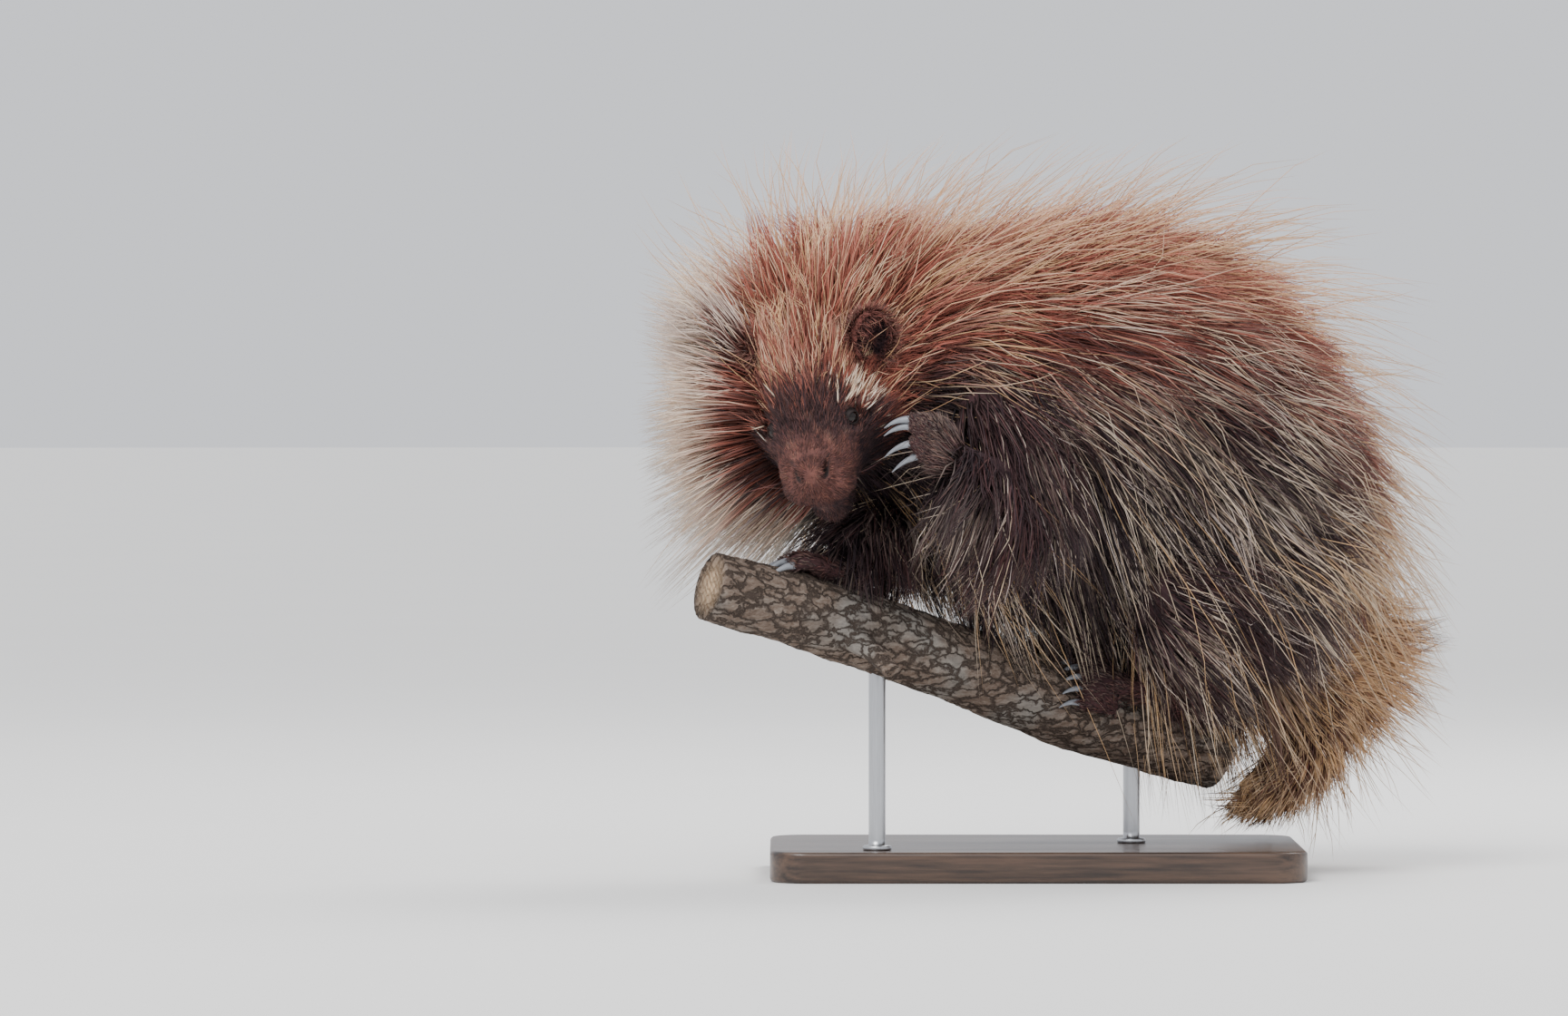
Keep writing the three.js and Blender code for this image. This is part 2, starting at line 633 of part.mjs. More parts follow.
// Tail: three lengths of one loft that hangs past the branch's cut end
const tailLeft = leftOf(HEADING + 12);
const tailStations = [
  { at: [192, 73, 190], left: tailLeft, wide: 34, top: 30, low: 28 },
  { at: [212, 82, 150], left: tailLeft, wide: 30, top: 26, low: 23 },
  { at: [218, 78, 112], left: tailLeft, wide: 25, top: 21, low: 17 },
  { at: [206, 64, 80], left: tailLeft, wide: 19, top: 15, low: 12 },
  { at: [184, 44, 60], left: tailLeft, wide: 12, top: 9, low: 8 },
];
const tailReach = (v, angle) => mix(26, 17, v) * mix(0.55, 1, (1 + Math.cos(angle)) / 2);
const tail = new Loft(tailStations, tailReach);
const TAIL_CUTS = [0, 0.44, 0.74, 1];
const tailCutShare = GAP / 160;
const TAIL_NODES = ["tail_base", "tail_middle", "tail_tip"];
const tailSolid = (i, grow) =>
  tail.solid({
    from: TAIL_CUTS[i] + (i ? tailCutShare : 0),
    to: TAIL_CUTS[i + 1],
    rings: 4,
    sides: 14,
    grow,
    domeTo: i === 2 ? 9 : 0,
  });

// Materials
const COAT = { color: 0x5b3b2b, roughness: 0.9 };
const FACE = { color: 0x3c2a24, roughness: 0.85 };
const BARE = { color: 0x2b2220, roughness: 0.7 };
const EYE_BALL = { color: 0x0a0808, roughness: 0.1 };
const BARK = { color: 0x5d4a3c, roughness: 0.9 };
const WOOD = { color: 0x2e2019, roughness: 0.45 };
const STEEL = { color: 0x8f9296, roughness: 0.35, metalness: 1 };

// How the hair grows on each part: its length, lift and turn by the place along and round the part
const spread = (vary, amount) => vary * amount;
function limbLock(length, wide, lift, sag, vary) {
  return { length, wide, thick: 5.2, lift: lift + spread(vary, 4), turn: spread(vary, 12), sag };
}
const HAIR_ON = {
  torso: ({ v, angle, vary }) => {
    const up = Math.cos(angle);
    const rump = ramp(v, 0.78, 0.95);
    const high = Math.max(up, 0);
    return {
      length: mix(mix(76, 88, high), 104, rump) * mix(1, 0.5, Math.max(-up, 0)) * (1 + spread(vary, 0.1)),
      wide: mix(28, 32, high),
      thick: 7,
      lift: mix(mix(25, 45, high), 42, rump) - 8 * Math.max(-up, 0) + spread(vary, 5),
      turn: Math.sign(angle) * 26 * Math.sin(Math.abs(angle)) * (1 - rump) + spread(vary, 9),
      sag: mix(0.12, 0.02, rump),
    };
  },
  neck: ({ v, angle, vary }) => {
    const up = Math.max(Math.cos(angle), 0);
    const right = Math.max(-Math.sin(angle), 0);
    return {
      length: mix(mix(56, 104, up), 112, right) * (1 + spread(vary, 0.12)),
      wide: 29,
      thick: 6.5,
      lift: mix(mix(34, 66, up), 80, right) - 16 * ramp(v, 0.08, 0.2) + spread(vary, 8),
      bend: 34,
      turn: spread(vary, 20),
      sag: 0.08,
    };
  },
  head: ({ v, angle, vary }) => {
    const back = ramp(v, 0.45, 0.8);
    const up = Math.max(Math.cos(angle), 0);
    return {
      length: mix(22, mix(46, 56, up), back) * (1 + spread(vary, 0.15)),
      wide: mix(11, 18, back),
      thick: mix(4, 5.5, back),
      lift: mix(26, mix(46, 58, up), back) + spread(vary, 7),
      turn: spread(vary, 15),
    };
  },
  upperArm: ({ vary }) => limbLock(46, 22, 22, 0.15, vary),
  forearm: ({ vary }) => limbLock(40, 17, 26, 0.3, vary),
  thigh: ({ vary }) => limbLock(46, 24, 17, 0.1, vary),
  shank: ({ vary }) => limbLock(34, 16, 22, 0.1, vary),
  tail: ({ v, angle, vary }) => {
    const up = Math.max(Math.cos(angle), 0);
    return {
      length: mix(mix(40, 96, up), mix(26, 46, up), ramp(v, 0.1, 0.7)) * (1 + spread(vary, 0.12)),
      wide: mix(20, 14, v),
      thick: 5,
      lift: mix(mix(20, 76, up), mix(16, 30, up), ramp(v, 0.1, 0.6)) + spread(vary, 5),
      turn: spread(vary, 12),
      sag: 0.05,
    };
  },
};

// The temples, the rump and the tail carry quills between the locks
function quill(length, thick, lift, vary) {
  return { length: length + spread(vary, 6), thick, lift: lift + spread(vary, 13), turn: spread(vary, 25) };
}
const QUILL_ON = {
  head: ({ vary }) => quill(24, 2.4, 34, vary),
  torso: ({ vary }) => quill(56, 3, 40, vary),
  tail: ({ vary }) => quill(38, 3, 44, vary),
};

// Assembly: each core is cut clear of the ones that it grows from or rests on
const SIDES = ["left", "right"];
const signOf = { left: 1, right: -1 };
const fatTorso = torsoSolid(GAP);
const fatNeck = neckSolid(GAP);
const fatHead = headFlesh(GAP);
const fatBranch = branchSolid(GAP);
const cores = new Map();
const look = new Map();
function addCore(name, solid, material, fat = solid) {
  cores.set(name, solid);
  look.set(name, material);
  addObstacle(name, fat);
}
addCore("head", cut(headSolid(), [eyeSolid(1, GAP), eyeSolid(-1, GAP), fatNeck, fatTorso]), FACE, fatHead);
addCore("neck", neckSolid(0), COAT, fatNeck);
addCore("torso", torsoSolid(0), COAT, fatTorso);
for (const side of SIDES) {
  const { upperArm, forearm, thigh, shank } = limbs[side];
  const fat = (loft) => limbSolid(loft, GAP);
  const handOf = (size) => (side === "left" ? raisedHand(size) : rightHand(size));
  const foot = cut(hindFoot(side, 0), [fat(shank), fat(thigh), fatBranch]);
  const sign = signOf[side];
  addCore(`eye_${side}`, eyeSolid(sign), EYE_BALL, eyeSolid(sign, GAP));
  addCore(`ear_${side}`, cut(earSolid(sign), [fatHead, fatNeck]), FACE, earSolid(sign, GAP));
  addCore(`upper_arm_${side}`, cut(limbSolid(upperArm, 0), [fatTorso, fatNeck]), COAT, fat(upperArm));
  addCore(`forearm_${side}`, cut(limbSolid(forearm, 0), [fat(upperArm), fatTorso]), COAT, fat(forearm));
  addCore(`hand_${side}`, cut(handOf(0), [fat(forearm), fatBranch]), BARE, handOf(GAP));
  addCore(`thigh_${side}`, cut(limbSolid(thigh, 0), [fatTorso]), COAT, fat(thigh));
  addCore(`shank_${side}`, cut(limbSolid(shank, 0), [fat(thigh), fatTorso]), COAT, fat(shank));
  addCore(`foot_${side}`, foot, BARE, hindFoot(side, GAP));
}
TAIL_NODES.forEach((name, i) => addCore(name, cut(tailSolid(i, 0), [fatTorso]), COAT, tailSolid(i, GAP)));
addCore("perch_branch", branchSolid(0), BARK, fatBranch);
addCore("stand_rod_front", rodSolid(0.36), STEEL);
addCore("stand_rod_rear", rodSolid(0.84), STEEL);
addCore("stand_base", baseSolid(), WOOD);

// Which roots each node has: its loft, the stretch along it, the spacing and what is left bare
const abs = Math.abs;
const aboveBelly = (v, a) => abs(a) < 2.2;
const besideThroat = (v, a) => abs(a) < 2.4;
const coats = [
  ["head", headLoft, [0.5, 0.98], { spacing: 18, seed: 11, keep: besideThroat }, HAIR_ON.head],
  ["neck", trunk, [0, 0.19], { spacing: 19, seed: 23 }, HAIR_ON.neck],
  ...TAIL_NODES.map((name, i) => [
    name,
    tail,
    [TAIL_CUTS[i] + 0.01, TAIL_CUTS[i + 1] - 0.02],
    { spacing: 22 - 2 * i, seed: 31 + i },
    HAIR_ON.tail,
  ]),
  ["torso", trunk, [0.2, 0.99], { spacing: 30, seed: 5, tries: 4000, keep: aboveBelly }, HAIR_ON.torso],
  ...SIDES.flatMap((side, i) => [
    [`upper_arm_${side}`, limbs[side].upperArm, [0.1, 0.95], { spacing: 23, seed: 41 + i }, HAIR_ON.upperArm],
    [`forearm_${side}`, limbs[side].forearm, [0.05, 0.85], { spacing: 22, seed: 51 + i }, HAIR_ON.forearm],
    [`thigh_${side}`, limbs[side].thigh, [0.05, 0.95], { spacing: 24, seed: 61 + i }, HAIR_ON.thigh],
    [`shank_${side}`, limbs[side].shank, [0.1, 0.85], { spacing: 22, seed: 71 + i }, HAIR_ON.shank],
  ]),
];
const onTemple = (v, a) => abs(abs(a) - 1.15) < 0.42;
const onBack = (v, a) => abs(a) < 1.25;
const quills = [
  ["head", headLoft, [0.42, 0.68], { spacing: 9.5, seed: 81, tries: 300, keep: onTemple }, QUILL_ON.head],
  ["torso", trunk, [0.6, 0.98], { spacing: 60, seed: 82, tries: 300, keep: onBack }, QUILL_ON.torso],
  ["tail_base", tail, [0.05, 0.4], { spacing: 20, seed: 83, tries: 900, keep: onBack }, QUILL_ON.tail],
];
const hair = new Map();
const keepHair = (name, solids) => hair.set(name, [...(hair.get(name) ?? []), ...solids]);
for (const [name, loft, stretch, where, shape] of coats) {
  keepHair(name, grow(name, scatter(loft, stretch, where), shape));
}
for (const [name, loft, stretch, where, shape] of quills) {
  keepHair(name, grow(name, scatter(loft, stretch, where), shape, quillSolid));
}
const nodes = [...cores].map(([name, core]) =>
  meshOf(largest(join([core, ...(hair.get(name) ?? [])])), name, look.get(name)),
);

// The origin is at the middle of the whole model's outline, at the base's underside
const porcupine = new THREE.Group();
porcupine.add(...nodes);
const outline = new THREE.Box3().setFromObject(porcupine);
const middle = outline.getCenter(new THREE.Vector3());
porcupine.position.set(-middle.x, -middle.y, 0);

export default porcupine;
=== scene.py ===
# A porcupine in its winter coat, hunched on a cut length of branch above a plain display stand.
# Sizes are in millimetres and angles in degrees, in the source's own frame; toScene makes them metres.
import math
import bmesh
import bpy
import numpy as np
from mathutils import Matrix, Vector


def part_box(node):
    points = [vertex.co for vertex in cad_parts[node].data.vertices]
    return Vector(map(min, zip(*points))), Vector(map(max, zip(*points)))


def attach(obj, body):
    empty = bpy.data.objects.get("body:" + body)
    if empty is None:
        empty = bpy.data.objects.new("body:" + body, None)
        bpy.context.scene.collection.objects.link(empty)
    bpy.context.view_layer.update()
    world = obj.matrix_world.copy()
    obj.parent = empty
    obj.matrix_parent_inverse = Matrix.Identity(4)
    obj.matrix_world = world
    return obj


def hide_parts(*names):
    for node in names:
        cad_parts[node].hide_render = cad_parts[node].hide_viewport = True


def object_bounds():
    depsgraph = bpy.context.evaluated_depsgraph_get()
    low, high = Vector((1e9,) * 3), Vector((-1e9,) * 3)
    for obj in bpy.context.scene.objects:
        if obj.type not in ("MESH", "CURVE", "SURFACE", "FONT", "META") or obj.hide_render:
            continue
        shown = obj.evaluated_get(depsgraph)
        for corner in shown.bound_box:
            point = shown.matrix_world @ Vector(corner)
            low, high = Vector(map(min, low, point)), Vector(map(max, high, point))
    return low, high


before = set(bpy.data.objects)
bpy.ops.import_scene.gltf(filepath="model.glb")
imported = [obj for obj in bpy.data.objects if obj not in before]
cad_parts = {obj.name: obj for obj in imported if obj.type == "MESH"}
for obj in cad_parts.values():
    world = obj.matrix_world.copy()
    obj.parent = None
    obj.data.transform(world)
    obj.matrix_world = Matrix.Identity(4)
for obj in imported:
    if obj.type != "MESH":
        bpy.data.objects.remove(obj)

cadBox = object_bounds()


# Small maths on whole arrays

def dot(a, b):  # the sum of the products along the last axis
    return np.sum(a * b, axis=-1, keepdims=True)

def unit(a):  # each vector over its own length
    return a / np.maximum(np.linalg.norm(a, axis=-1, keepdims=True), 1e-9)

def mixed(a, b, t):  # a plus t times the way from a to b
    return a + (b - a) * t

def ramp(x, low, high):  # smooth step from 0 at low to 1 at high
    t = np.clip((x - low) / (high - low), 0, 1)
    return t * t * (3 - 2 * t)

def bell(x, width):  # 1 at zero, falling off over the width
    return np.exp(-(x / width) ** 2)

def softNoise(points, size, seed):  # the mean of sine waves in seeded directions, about one size long
    dice = np.random.default_rng(seed)
    waves, height = 7, 1.6
    ways = dice.normal(size=(waves, 3))
    ways = unit(ways) * (2 * math.pi / size) * dice.uniform(0.7, 1.4, (waves, 1))
    return np.sin(points @ ways.T + dice.uniform(0, 6.28, waves)).mean(1) * height

def circle(sides):  # evenly spaced angles once round, from zero
    return np.linspace(0, 2 * math.pi, sides, endpoint=False)

def leftOf(heading):  # the way to the left of something that faces a heading, from -X towards -Y
    h = math.radians(heading)
    return [math.sin(h), -math.cos(h), 0.0]

def through(rows, u):  # cubic Hermite curve through evenly counted rows, with clamped ends
    rows = np.asarray(rows, float)
    last = len(rows) - 1
    u = np.asarray(u, float)
    i = np.clip(np.floor(u).astype(int), 0, last - 1)
    t = (u - i).reshape(u.shape + (1,) * (rows.ndim - 1))
    a, b, c, d = [rows[np.clip(i + k, 0, last)] for k in (-1, 0, 1, 2)]
    m, n = (c - a) / 2, (d - b) / 2
    t2, t3 = t * t, t * t * t
    return (2*t3 - 3*t2 + 1) * b + (t3 - 2*t2 + t) * m + (3*t2 - 2*t3) * c + (t3 - t2) * n

baseMiddle = np.array([20.0, 2.0, 0.0])  # where the source puts the middle of the base
standBox = np.array(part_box("stand_base")) * 1000
shift = (standBox[0] + standBox[1]) / 2 * [1, 1, 0] - baseMiddle

def toScene(points):  # the source's millimetres plus the shift, in metres
    return (np.asarray(points) + shift) * 0.001


# Meshes from arrays

# Rings of points, all of one length, become a closed surface with a pole in the middle of each end
def closeRings(rings):
    n, m = rings.shape[:2]
    points = np.concatenate([rings.reshape(-1, 3), rings[:1].mean(1), rings[-1:].mean(1)])
    i, j = np.meshgrid(np.arange(n - 1), np.arange(m), indexing="ij")
    a, b = i * m + j, i * m + (j + 1) % m
    quads = np.stack([a, b, b + m, a + m], -1).reshape(-1, 4)
    k = np.arange(m)
    first, last = np.full(m, n * m), np.full(m, n * m + 1)
    end = (n - 1) * m
    tris = np.concatenate([np.stack([first, (k + 1) % m, k], -1),
                           np.stack([last, end + k, end + (k + 1) % m], -1)])
    return points, quads, tris

def joined(pieces):  # several surfaces as one set of points, quads and triangles
    counts = np.cumsum([0] + [len(p[0]) for p in pieces])
    return (np.concatenate([p[0] for p in pieces]),
            np.concatenate([p[1] + c for p, c in zip(pieces, counts)]),
            np.concatenate([p[2] + c for p, c in zip(pieces, counts)]))

# Points, quads and triangles as a mesh object at the origin, with its place in its mesh
def makeObject(name, points, quads, tris, material, smooth=True):
    mesh = bpy.data.meshes.new(name)
    corners = np.concatenate([quads.ravel(), tris.ravel()]).astype(np.int32)
    starts = np.concatenate([np.arange(len(quads)) * 4, len(quads) * 4 + np.arange(len(tris)) * 3])
    mesh.vertices.add(len(points))
    mesh.vertices.foreach_set("co", toScene(points).astype(np.float32).ravel())
    mesh.loops.add(len(corners))
    mesh.loops.foreach_set("vertex_index", corners)
    mesh.polygons.add(len(starts))
    mesh.polygons.foreach_set("loop_start", starts.astype(np.int32))
    mesh.polygons.foreach_set("use_smooth", np.full(len(starts), smooth))
    mesh.update(calc_edges=True)
    mesh.validate()
    if material:
        mesh.materials.append(material)
    made = bpy.data.objects.new(name, mesh)
    bpy.context.collection.objects.link(made)
    return made

def setFloat(mesh, name, values):  # one number for each vertex, for the materials to read
    layer = mesh.attributes.new(name, "FLOAT", "POINT")
    layer.data.foreach_set("value", np.asarray(values, np.float32).ravel())

# A rounded lump: a circle that grows and shrinks along its first axis
def lump(centre, radii, axes, rings=14, sides=20):
    t = np.linspace(0.12, math.pi - 0.12, rings)[:, None, None]
    a = circle(sides)[None, :, None]
    x, y, z = [np.asarray(axis) * r for axis, r in zip(axes, radii)]
    return closeRings(centre - x * np.cos(t) + np.sin(t) * (y * np.cos(a) + z * np.sin(a)))

# A round tube of changing radius along a smooth curve through points, flattened by flat
def tube(points, radii, sides=14, rings=16, side=(0.31, 0.52, 0.8), flat=1.0):
    u = np.linspace(0, len(points) - 1, rings)
    at = through(points, u)
    along = unit(np.gradient(at, axis=0))
    r = through(np.asarray(radii, float), np.linspace(0, len(radii) - 1, rings))[:, None, None]
    across = unit(np.cross(along, np.asarray(side, float)))[:, None]
    third = np.cross(across[:, 0], along)[:, None]
    a = circle(sides)[None, :, None]
    return closeRings(at[:, None] + r * (third * np.cos(a) + across * flat * np.sin(a)))

# A body part carried along a line: an ellipse of its own half sizes to the side, the top and below
class Loft:
    def __init__(self, at, left, sizes):
        self.at, self.sizes = np.asarray(at, float), np.asarray(sizes, float)
        self.hint = np.broadcast_to(np.asarray(left, float), self.at.shape)

    # At a share v of the line: its point, the ways along, left and up, and the three half sizes
    def frame(self, v):
        last = len(self.at) - 1
        u = np.clip(v, 0, 1) * last
        at = through(self.at, u)
        ahead, behind = [through(self.at, np.clip(u + d, 0, last)) for d in (0.02, -0.02)]
        along = unit(ahead - behind)
        left = through(self.hint, u)
        left = unit(left - along * dot(left, along))
        sizes = through(self.sizes, u)
        return at, along, left, np.cross(left, along), sizes

    def point(self, v, angle, grow=0.0):  # the angle is 0 on top and positive to the left
        at, _, left, up, sizes = self.frame(v)
        c, s = np.cos(angle)[..., None], np.sin(angle)[..., None]
        high = np.where(c > 0, sizes[..., 1:2], sizes[..., 2:3]) + grow
        return at + up * c * high + left * s * (sizes[..., 0:1] + grow)

    def surface(self, start=0, end=1, rings=24, sides=32, domes=(0, 0)):  # closed, a dome on each end
        t = np.radians([75, 60, 45, 30, 15]) if domes[0] else np.zeros(0)
        w = np.radians([15, 30, 45, 60, 75]) if domes[1] else np.zeros(0)
        v = np.concatenate([np.full(len(t), start), np.linspace(start, end, rings), np.full(len(w), end)])
        size = np.concatenate([np.cos(t), np.ones(rings), np.cos(w)])[:, None, None]
        out = np.concatenate([-domes[0] * np.sin(t), np.zeros(rings), domes[1] * np.sin(w)])[:, None, None]
        a = circle(sides)
        at, along = [x[:, None] for x in self.frame(v)[:2]]
        ring = self.point(v[:, None] + 0 * a, a + 0 * v[:, None])
        return closeRings(at + (ring - at) * size + along * out)

    def lay(self, v, angle):  # the way along the part on its surface, from its first end to its last
        step = 0.012
        return unit(self.point(np.clip(v + step, 0, 1), angle) - self.point(np.clip(v - step, 0, 1), angle))


# Shader nodes as expressions

# One output of a node; its sums, differences and products are maths nodes of their own
class Wire:
    def __init__(self, tree, socket):
        self.tree, self.socket = tree, socket

    # Any node: its settings first, then the values or links of its sockets; gives one output
    def node(self, kind, settings=None, values=None, output=0):
        made = self.tree.nodes.new(kind)
        for key, value in (settings or {}).items():
            if key == "stops":
                fillRamp(made.color_ramp, value)
            else:
                setattr(made, key, value)
        for key, value in (values or {}).items():
            socket = made.inputs[key]
            if isinstance(value, Wire):
                self.tree.links.new(value.socket, socket)
            else:
                socket.default_value = value
        return Wire(self.tree, made.outputs[output])

    def maths(self, operation, *values):  # one maths node on these values, in their order
        return self.node("ShaderNodeMath", {"operation": operation}, dict(enumerate(values)))

    def __add__(self, other):
        return self.maths("ADD", self, other)

    def __sub__(self, other):
        return self.maths("SUBTRACT", self, other)

    def __rsub__(self, other):
        return self.maths("SUBTRACT", other, self)

    def __mul__(self, other):
        return self.maths("MULTIPLY", self, other)

    __radd__, __rmul__ = __add__, __mul__

    def smooth(self, low, high):  # a smooth step of this value
        values = {"Value": self, "From Min": low, "From Max": high}
        return self.node("ShaderNodeMapRange", {"interpolation_type": "SMOOTHSTEP"}, values)

    def blend(self, first, second):  # from the first colour to the second by this value
        values = {"Factor": self, 6: colour(first), 7: colour(second)}
        return self.node("ShaderNodeMix", {"data_type": "RGBA"}, values, 2)

    def shade(self, amount):  # this colour times a number
        return self.node("ShaderNodeVectorMath", {"operation": "SCALE"}, {0: self, "Scale": amount})

def colour(value):  # three numbers with an alpha of 1, or a link as it is
    return value if isinstance(value, Wire) else (*value, 1.0)

def fillRamp(band, stops):  # each stop is its place and its colour
    for i, (place, value) in enumerate(stops):
        stop = band.elements[i] if i < 2 else band.elements.new(place)
        stop.position, stop.color = place, (*value, 1.0)

# A material with one Principled shader: constants are set on its own sockets, and feed links the rest.
# Here are the object coordinates, which every pattern reads.
def startMaterial(name, constants):
    material = bpy.data.materials.new(name)
    material.use_nodes = True
    tree = material.node_tree
    shader = tree.nodes["Principled BSDF"]
    for key, value in constants.items():
        shader.inputs[key].default_value = value
    here = Wire(tree, None).node("ShaderNodeTexCoord", output="Object")
    def feed(socket, wire):
        tree.links.new(wire.socket, shader.inputs[socket])
    return material, here, feed

def noise(at, scale, detail=3.0, roughness=0.55, output="Fac"):  # so many lumps to the metre
    values = {"Vector": at, "Scale": scale, "Detail": detail, "Roughness": roughness}
    return at.node("ShaderNodeTexNoise", values=values, output=output)

def stretched(at, scale, turn=(0, 0, 0)):  # coordinates times a scale, then turned
    turn = tuple(math.radians(t) for t in turn)
    return at.node("ShaderNodeMapping", values={"Vector": at, "Scale": scale, "Rotation": turn})

def bump(height, strength, distance):  # a height of 0 to 1 stands for this distance in metres
    values = {"Height": height, "Strength": strength, "Distance": distance}
    return height.node("ShaderNodeBump", values=values)

def attribute(at, name):  # a number that the mesh carries at each vertex
    return at.node("ShaderNodeAttribute", {"attribute_name": name}, output="Fac")


# Colours of the coat, shared by skin and hair

coatColours = {
    "umber": (0.092, 0.045, 0.048),
    "rust": (0.450, 0.130, 0.088),
    "dark": (0.028, 0.016, 0.021),
    "warm": (0.300, 0.140, 0.080),
    "straw": (0.890, 0.730, 0.540),
    "ash": (0.660, 0.550, 0.510),
    "gold": (0.840, 0.520, 0.260),
    "cream": (0.900, 0.830, 0.720),
    "tan": (0.760, 0.600, 0.470),
}

evenMarks = {"ear": (0.5, 0.3, 0, 0.1), "leg": (0.08, 0.72, 0, 0.10), "paw": (0.15, 0.62, 0, 0.1)}
handMarks = (0.14, 0.66, 0, 0.14)  # of the raised hand

# The marks are shares from 0 to 1: rust, dark and warm tell the hair's colour, and pale how much
# straw its outer end has. Rust covers the crown, nape and back, dark the belly, limbs and eye band.
# On the trunk both are partly painted light: rust lighter on top as if lit from above, and dark as
# painted shade on the belly and under the neck. On the arms dark is partly painted shadow under the
# shoulder. up is the cosine of the angle from the part's top.
def markings(part, v, a):
    up = np.cos(a)
    kind = kindOf[part]
    n = len(v)
    rust, dark, warm, pale = np.zeros(n), np.zeros(n), np.zeros(n), np.full(n, 0.6)

    def put(on, values):
        for mark, value in zip((rust, dark, warm, pale), values):
            mark[on] = np.broadcast_to(value, n)[on]

    front = 1 - ramp(v, 0.0, 0.22)
    # Trunk: rust on top and dark below are partly the coat's own colours, partly painted light from above
    # and painted shade underneath
    put(kind == "trunk", (
        ramp(up, -0.1 - 0.55 * front, 0.85 - 0.2 * front) * (1 - 0.7 * ramp(v, 0.5, 0.85)),
        mixed(0.92 * ramp(-up, -0.65, 0.4), 0.95 * ramp(-up, -0.3, 0.5), front)
        * (1 - 0.5 * ramp(v, 0.7, 0.95)),
        0.4 * ramp(v, 0.84, 1.0), 0.16))
    band = bell(v - 0.455, 0.095)
    under = ramp(-up, -0.2, 0.5) * ramp(v, 0.0, 0.16)
    crown = ramp(v, 0.47, 0.70)
    put(kind == "head", (
        np.clip(mixed(0.24, 1.0, crown) - 0.2 * band - 0.2 * under, 0, 1),
        np.clip(0.30 + 0.52 * band + 0.45 * under * (1 - crown) - 0.3 * crown, 0, 1),
        0.18 * (1 - crown), mixed(0.03, 0.34, ramp(v, 0.54, 0.78))))
    for name, values in evenMarks.items():
        put(kind == name, values)
    # The arms' dark is partly their own dark fur and partly painted shadow under the shoulder coat
    put(kind == "arm", (0.10, 0.74 + 0.15 * ramp(v, 0.3, 1), 0, 0.05))
    put(part == partNames.index("hand_left"), handMarks)
    far = ramp(v, 0.15, 0.5)
    put(kind == "tail", (
        0.15, 0.25 * ramp(-up, -0.2, 0.8) + 0.2 * far, mixed(0.8, 0.5, far), mixed(0.6, 0.4, far)))
    return {"rust": rust, "dark": dark, "warm": warm, "pale": pale}

# How far inside an ear's cup a point is: 1 within seven tenths of its radii, between floor and rim
def insideEar(points):
    inside = np.zeros(len(points))
    for side in (1, -1):
        out, across, tall = earAxes(side)
        q = points - earMiddle(side)
        wide, high = headRows["ear"]["radii"][1:]
        r = np.hypot(q @ across / wide, q @ tall / high)
        deep = q @ out
        here = (1 - ramp(r, 0.7, 0.9)) * ramp(deep, -9, -5) * (1 - ramp(deep, 6, 10))
        inside = np.maximum(inside, here)
    return inside

# The marks are uneven: patches a few centimetres wide on the body, and small ones on the face.
# Inside the ear cups they are darkened and lose their pale, as painted shade.
def mottle(marks, points, onHead):
    wide, fine = softNoise(points, 46, 21), softNoise(points, 11, 22)
    marks["dark"] = np.clip(marks["dark"] + np.where(onHead, 0.24 * fine, 0.12 * wide), 0, 1)
    more = np.where(onHead, 0.45 * ramp(-fine, 0.3, 0.8), 0.1 * wide)
    marks["pale"] = np.clip(marks["pale"] + more, 0, 1)
    # Painted shade: the inside of each ear cup is darkened and its pale tips taken out
    inside = insideEar(points)
    marks["dark"] = np.maximum(marks["dark"], 0.95 * inside)
    marks["pale"] = marks["pale"] * (1 - inside)
    return marks

def ownColour(here, depth):  # the marks of a place as one colour; depth shades it
    base = attribute(here, "rust").blend(coatColours["umber"], coatColours["rust"])
    base = attribute(here, "warm").blend(base, coatColours["warm"])
    return attribute(here, "dark").blend(base, coatColours["dark"]).shade(depth)

# Hair: dark at the root, partly its own dark base and partly painted shade deep in the coat, its own
# colour in the middle, and straw, ash or gold outwards where it is pale
def makeHairMaterial(name, roughness=0.55, lift=1.0, pales=("ash", "straw"), paleFrom=0.15):
    material, here, feed = startMaterial(name, {"Specular IOR Level": 0.3})
    along, tint = attribute(here, "along"), attribute(here, "tint")
    # Darker towards the root: partly painted shade deep in the coat
    base = ownColour(here, (0.3 + 0.7 * along.smooth(0.05, 0.55)) * (0.4 * lift + 1.1 * lift * tint))
    outer = along.smooth(paleFrom, paleFrom + 0.4) * attribute(here, "pale")
    straw = tint.smooth(0.1, 0.9).blend(coatColours[pales[0]], coatColours[pales[1]])
    straw = (0.3 * attribute(here, "rust") + attribute(here, "warm")).blend(straw, coatColours["gold"])
    feed("Base Color", outer.blend(base, straw))
    feed("Roughness", roughness + 0.15 * noise(here, 900.0))
    return material

# Skin under the coat: the same marks, darker, with a fine grain
def makeSkinMaterial():
    material, here, feed = startMaterial("skin", {"Specular IOR Level": 0.3})
    grain = noise(here, 420.0, 4.0)
    bare = attribute(here, "bare")
    fine = noise(stretched(here, (1.0, 1.0, 2.5)), 260.0)
    furred = ownColour(here, 0.1 + 0.75 * noise(here, 90.0) + 0.7 * fine)
    leather = noise(here, 260.0).blend((0.006, 0.004, 0.004), (0.024, 0.016, 0.015))
    feed("Base Color", bare.blend(furred, leather))
    feed("Roughness", 0.85 - 0.2 * bare + 0.1 * grain)
    feed("Normal", bump(grain + 0.6 * noise(here, 1300.0), 0.5, 0.0012))
    return material

